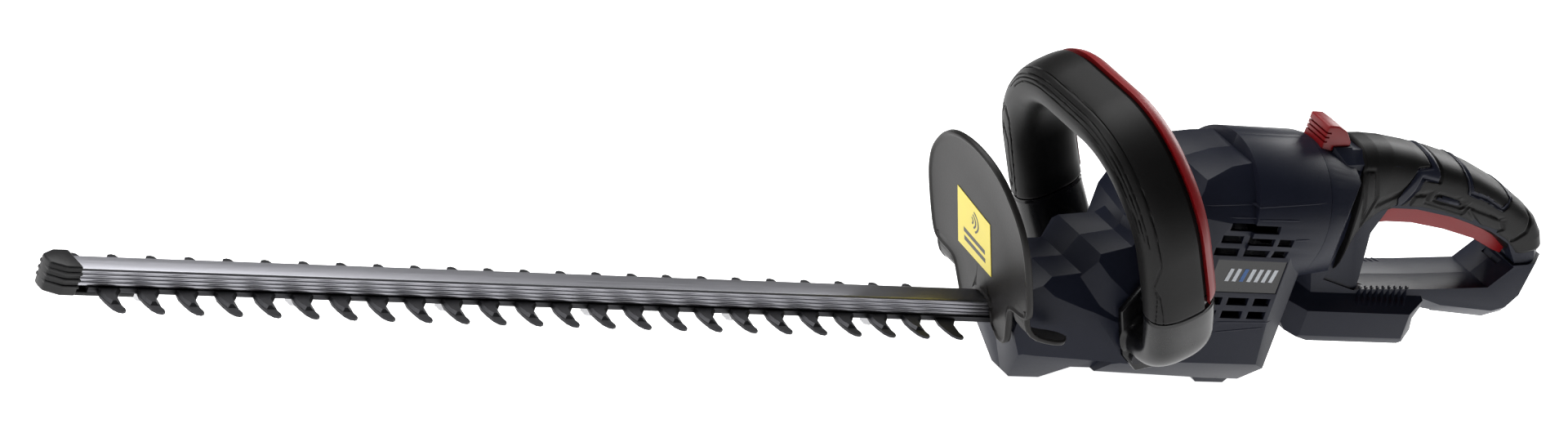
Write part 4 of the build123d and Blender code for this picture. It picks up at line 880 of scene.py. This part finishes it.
# Thin crease lines are moulded on the flanks of the housing, in one with the shells. Each is drawn as
# a low bead that follows the flank.
CREASES = [
    [(73.0, 115.0), (120.0, 116.0)], [(118.0, 104.5), (130.0, 105.5)], [(88.0, 52.5), (128.0, 53.5)],
    [(90.0, 46.0), (123.0, 50.0)], [(56.0, 120.0), (86.0, 121.5), (136.0, 125.5)],
]


# how far out to the side a line starts that looks for a shell, in metres
CAST_FROM = 0.12


def skin_at(x, z, side, sources):
    """Where a level line from the side first meets a shell, in mm."""
    best = None
    for source in sources:
        piece = bpy.data.objects[source]
        start = Vector((x * MM, side * CAST_FROM, z * MM))
        hit, spot, _, _ = piece.ray_cast(start, Vector((0.0, -side, 0.0)))
        if hit:
            height = side * spot.y / MM
            best = height if best is None else max(best, height)
    return best


def laid_strip(name, line, half, side, sources, proud=0.25):
    """A thin bead that follows a shell's flank along a bent line."""
    track = Track([Vector(point) for point in line])
    count = max(6, int(track.length / 2.0))

    def place(s, t):
        spot, ahead = track.at(t * track.length)
        angle = 2 * math.pi * s
        taper = min(1.0, 0.15 + 12.0 * min(t, 1.0 - t))
        across = half * taper * math.cos(angle)
        x, z = spot.x - ahead.y * across, spot.y + ahead.x * across
        skin = skin_at(x, z, side, sources)
        skin = skin if skin is not None else 36.0
        return (x, side * (skin + proud * taper * math.sin(angle)), z)

    return shaded(wrapped(name, 8, count, place), 60.0)


beads = []
for side, source in ((-1.0, "housing_left_shell"), (1.0, "housing_right_shell")):
    for line in CREASES:
        beads.append(laid_strip("crease", line, 0.55, side, [source]))
crease_beads = joined("crease_beads", beads)
placed(crease_beads, navy_plastic, "navy_plastic", "root")

# The screws that hold the loop to the housing are blackened.
coat(nodes["front_handle_screws"], blade_metal)

# The badge is a plain printed plate set in a recess on each flank, with a raised generic motif of
# slanted bars in pale ink and one blue stroke. It carries no name.
MOTIF_BARS = [(84.0, 0), (89.0, 0), (94.0, 1), (99.0, 0), (104.0, 0), (109.0, 0), (114.0, 0)]
badge_rims = [nodes["badge_plates"].matrix_world @ vert.co for vert in nodes["badge_plates"].data.vertices]
level = max(abs(rim.y) for rim in badge_rims) / MM
motif_white = []
motif_blue = []
for side in (-1.0, 1.0):
    for lean, blue in MOTIF_BARS:
        bar_outline = [(lean, 77.5), (lean + 2.6, 77.4), (lean + 4.2, 85.0), (lean + 1.6, 85.1)]
        stroke = slab("stroke", bar_outline, side * (level - 0.1), side * (level + 0.12), upright)
        (motif_blue if blue else motif_white).append(stroke)
pale_ink = moulded("pale_ink", (0.42, 0.44, 0.47), (0.50, 0.52, 0.55), 0.3)
blue_ink = moulded("blue_ink", (0.01, 0.07, 0.22), (0.02, 0.09, 0.28), 0.3)
placed(joined("motif_white", motif_white), pale_ink, "black_plastic", "root")
placed(joined("motif_blue", motif_blue), blue_ink, "black_plastic", "root")

# The rear handle turns on the drum of the housing. It is moulded in two half shells of the same nylon,
# with a dock for the battery pack below and cooling slats in the slope of the dock.
HANDLE_ARRIS = 2.2
for source in ("rear_handle_left", "rear_handle_right"):
    shell = moulded_copy(source + "_shell", source, HANDLE_ARRIS, 4)
    placed(shell, navy_plastic, "navy_plastic", "rear_handle", source)
UNDER_BRIDGE = 0.0668
SLAT_HALF = 1.1
SLAT_RISE = 0.45
slats = []
for count in range(9):
    for side in (-1.0, 1.0):
        share = count / 8.0
        start = Vector((201.0 + 33.0 * share, side * 13.5))
        stop = Vector((194.0 + 32.0 * share, side * 24.0))

        def place(s, t, start=start, stop=stop):
            spot = start.lerp(stop, t)
            ahead = (stop - start).normalized()
            angle = 2 * math.pi * s
            taper = min(1.0, 0.2 + 8.0 * min(t, 1.0 - t))
            x = spot.x - ahead.y * SLAT_HALF * taper * math.cos(angle)
            y = spot.y + ahead.x * SLAT_HALF * taper * math.cos(angle)
            best = None
            for name in ("rear_handle_left_shell", "rear_handle_right_shell"):
                piece = bpy.data.objects[name]
                above = Vector((x * MM, y * MM, UNDER_BRIDGE))
                hit, found, _, _ = piece.ray_cast(above, Vector((0.0, 0.0, -1.0)))
                if hit and (best is None or found.z > best):
                    best = found.z
            height = best / MM if best else 60.0
            return (x, y, height + SLAT_RISE * taper * math.sin(angle))

        slats.append(shaded(wrapped("slat", 8, 8, place), 60.0))
placed(joined("dock_slats", slats), navy_plastic, "navy_plastic", "rear_handle")

# The grip on the rear handle is the same rubber, moulded over the shells. Grooves run over its flanks
# between raised pads, and navy bands of the shell show through in two places.
GRIP_OUTER = [
    (169.0, 147.5), (180.0, 148.3), (192.0, 148.0), (210.0, 145.8), (229.0, 142.6), (246.0, 138.8),
    (260.0, 134.6), (276.0, 128.6), (290.0, 122.2), (301.0, 116.4), (310.0, 110.6), (317.0, 103.0),
    (320.6, 95.0),
]
GRIP_INNER = [
    (176.0, 70.0), (177.5, 84.0), (181.0, 96.0), (190.0, 106.5), (202.0, 111.0), (218.0, 111.6),
    (234.0, 109.9), (247.0, 107.6), (262.0, 104.2), (275.0, 100.6), (286.0, 96.4), (293.0, 92.0),
    (298.0, 88.6),
]
GRIP_HALF = 17.4
GRIP_GROOVES = [
    [(171.0, 137.0), (178.0, 137.0), (184.0, 121.0), (180.0, 105.0), (173.0, 126.0), (171.0, 137.0)],
    [
        (187.0, 117.0), (196.0, 121.0), (200.0, 123.0), (204.0, 128.0), (210.0, 138.0), (220.0, 139.0),
        (215.0, 149.0),
    ],
    [
        (201.0, 115.0), (205.0, 116.0), (211.0, 126.0), (213.0, 134.0), (226.0, 132.0), (226.0, 137.0),
        (220.0, 149.0),
    ],
    [(284.0, 121.0), (278.0, 117.0), (264.0, 123.0), (251.0, 126.0), (249.0, 133.0), (241.0, 145.0)],
    [(285.0, 129.0), (296.0, 120.0), (302.0, 112.0), (300.0, 104.0), (293.0, 98.0)],
    [
        (211.0, 115.0), (212.0, 123.0), (221.0, 124.0), (221.0, 119.0), (250.0, 113.0), (252.0, 118.0),
        (279.0, 111.0), (283.0, 105.0), (280.0, 103.0), (267.0, 105.0), (254.0, 115.0),
    ],
    [(226.0, 121.0), (227.0, 124.0), (243.0, 122.0), (249.0, 118.0), (247.0, 117.0), (226.0, 121.0)],
]
grip_outer = Track([Vector(point) for point in GRIP_OUTER])
grip_inner = Track([Vector(point) for point in GRIP_INNER])


def handle_point(s, t):
    top, _ = grip_outer.at(t * grip_outer.length)
    low, _ = grip_inner.at(t * grip_inner.length)
    middle, rise = (top + low) / 2, (top - low) / 2
    angle = 2 * math.pi * s
    power = 2.0 / (2.7 if math.cos(angle) > 0 else 3.4)
    up = math.copysign(abs(math.cos(angle)) ** power, math.cos(angle))
    across = math.copysign(abs(math.sin(angle)) ** power, math.sin(angle))
    spot = middle + rise * up
    half = GRIP_HALF + 4.5 * max(0.0, 1.0 - t / 0.3) ** 2
    sunk = groove_depth((spot.x, spot.y), GRIP_GROOVES, 1.3, 1.0)
    edge = min(t, 1.0 - t) * grip_outer.length
    shrink = 1.0 - 0.05 * max(0.0, 1.0 - edge / 1.5)
    reach = math.hypot(rise.length * up, half * across)
    keep = shrink * (1.0 - sunk / reach)
    spot = middle + rise * up * keep
    return (spot.x, half * across * keep, spot.y)


handle_grip = shaded(wrapped("handle_grip_rubber", 200, 300, handle_point), 50.0)
placed(handle_grip, grip_rubber, "soft_grip", "rear_handle", "rear_grip")

# Two navy bands and a small flat of the shell show through the grip, level with the rubber.
INLAYS = [
    [
        (203.0, 115.5), (207.0, 117.0), (212.5, 126.0), (214.5, 132.5), (225.0, 131.0), (224.5, 137.0),
        (218.0, 150.0), (214.0, 150.0), (220.0, 138.5), (210.5, 138.5), (204.5, 128.0), (200.5, 121.0),
    ],
    [
        (280.0, 127.0), (283.0, 122.0), (277.0, 118.5), (264.0, 124.5), (252.0, 127.5), (250.0, 134.0),
        (242.0, 147.0), (238.5, 147.0), (246.5, 133.0), (248.8, 125.0), (263.0, 121.5), (277.5, 115.5),
        (285.5, 121.5), (282.0, 128.5),
    ],
    [(227.5, 121.5), (228.2, 123.3), (242.5, 121.3), (246.5, 118.4)],
]


def inside(spot, outline):
    hit = False
    for (u0, v0), (u1, v1) in zip(outline, outline[1:] + outline[:1]):
        if (v0 > spot[1]) != (v1 > spot[1]) and spot[0] < u0 + (spot[1] - v0) / (v1 - v0) * (u1 - u0):
            hit = not hit
    return hit


inlay = twin_of(handle_grip, (0.0, 0.0, 0.0))
inlay.name = inlay.data.name = "handle_inlays"
alone(inlay)
bpy.ops.object.mode_set(mode="EDIT")
bpy.ops.mesh.select_mode(type="FACE")
bpy.ops.mesh.select_all(action="DESELECT")
bpy.ops.object.mode_set(mode="OBJECT")
for face in inlay.data.polygons:
    face.select = not any(inside((face.center.x / MM, face.center.z / MM), outline) for outline in INLAYS)
bpy.ops.object.mode_set(mode="EDIT")
bpy.ops.mesh.delete(type="FACE")
bpy.ops.object.mode_set(mode="OBJECT")
skin = inlay.modifiers.new("skin", "SOLIDIFY")
skin.thickness = 0.5 * MM
skin.offset = 1.0
bpy.ops.object.modifier_apply(modifier="skin")
placed(shaded(inlay, 50.0), navy_plastic, "navy_plastic", "rear_handle")

# The trigger and the lock button are moulded in red acetal. The trigger curves up into the handle and
# has a lip at its rear end. The lock is a stepped wedge with ridges across its slope for the thumb.
trigger_shape = moulded_copy("red_trigger", "trigger", 2.0, 4)
placed(trigger_shape, red_plastic, "red_plastic", "trigger", "trigger")
lock_shape = moulded_copy("red_lock", "lock_button", 1.0, 3)
THUMB_GROOVES = 3
THUMB_FIRST = (140.2, 148.0)
THUMB_STEP = (0.55, 2.6)
THUMB_LONG = 4.4
THUMB_HALF = 9.6
for count in range(THUMB_GROOVES):
    front = THUMB_FIRST[0] + THUMB_STEP[0] * count
    rise = THUMB_FIRST[1] + THUMB_STEP[1] * count
    outline = box_outline(front, front + THUMB_LONG, rise, rise + 1.0)
    carved(lock_shape, slab("groove", outline, -THUMB_HALF, THUMB_HALF, upright))
placed(lock_shape, red_plastic, "red_plastic", "lock_button", "lock_button")
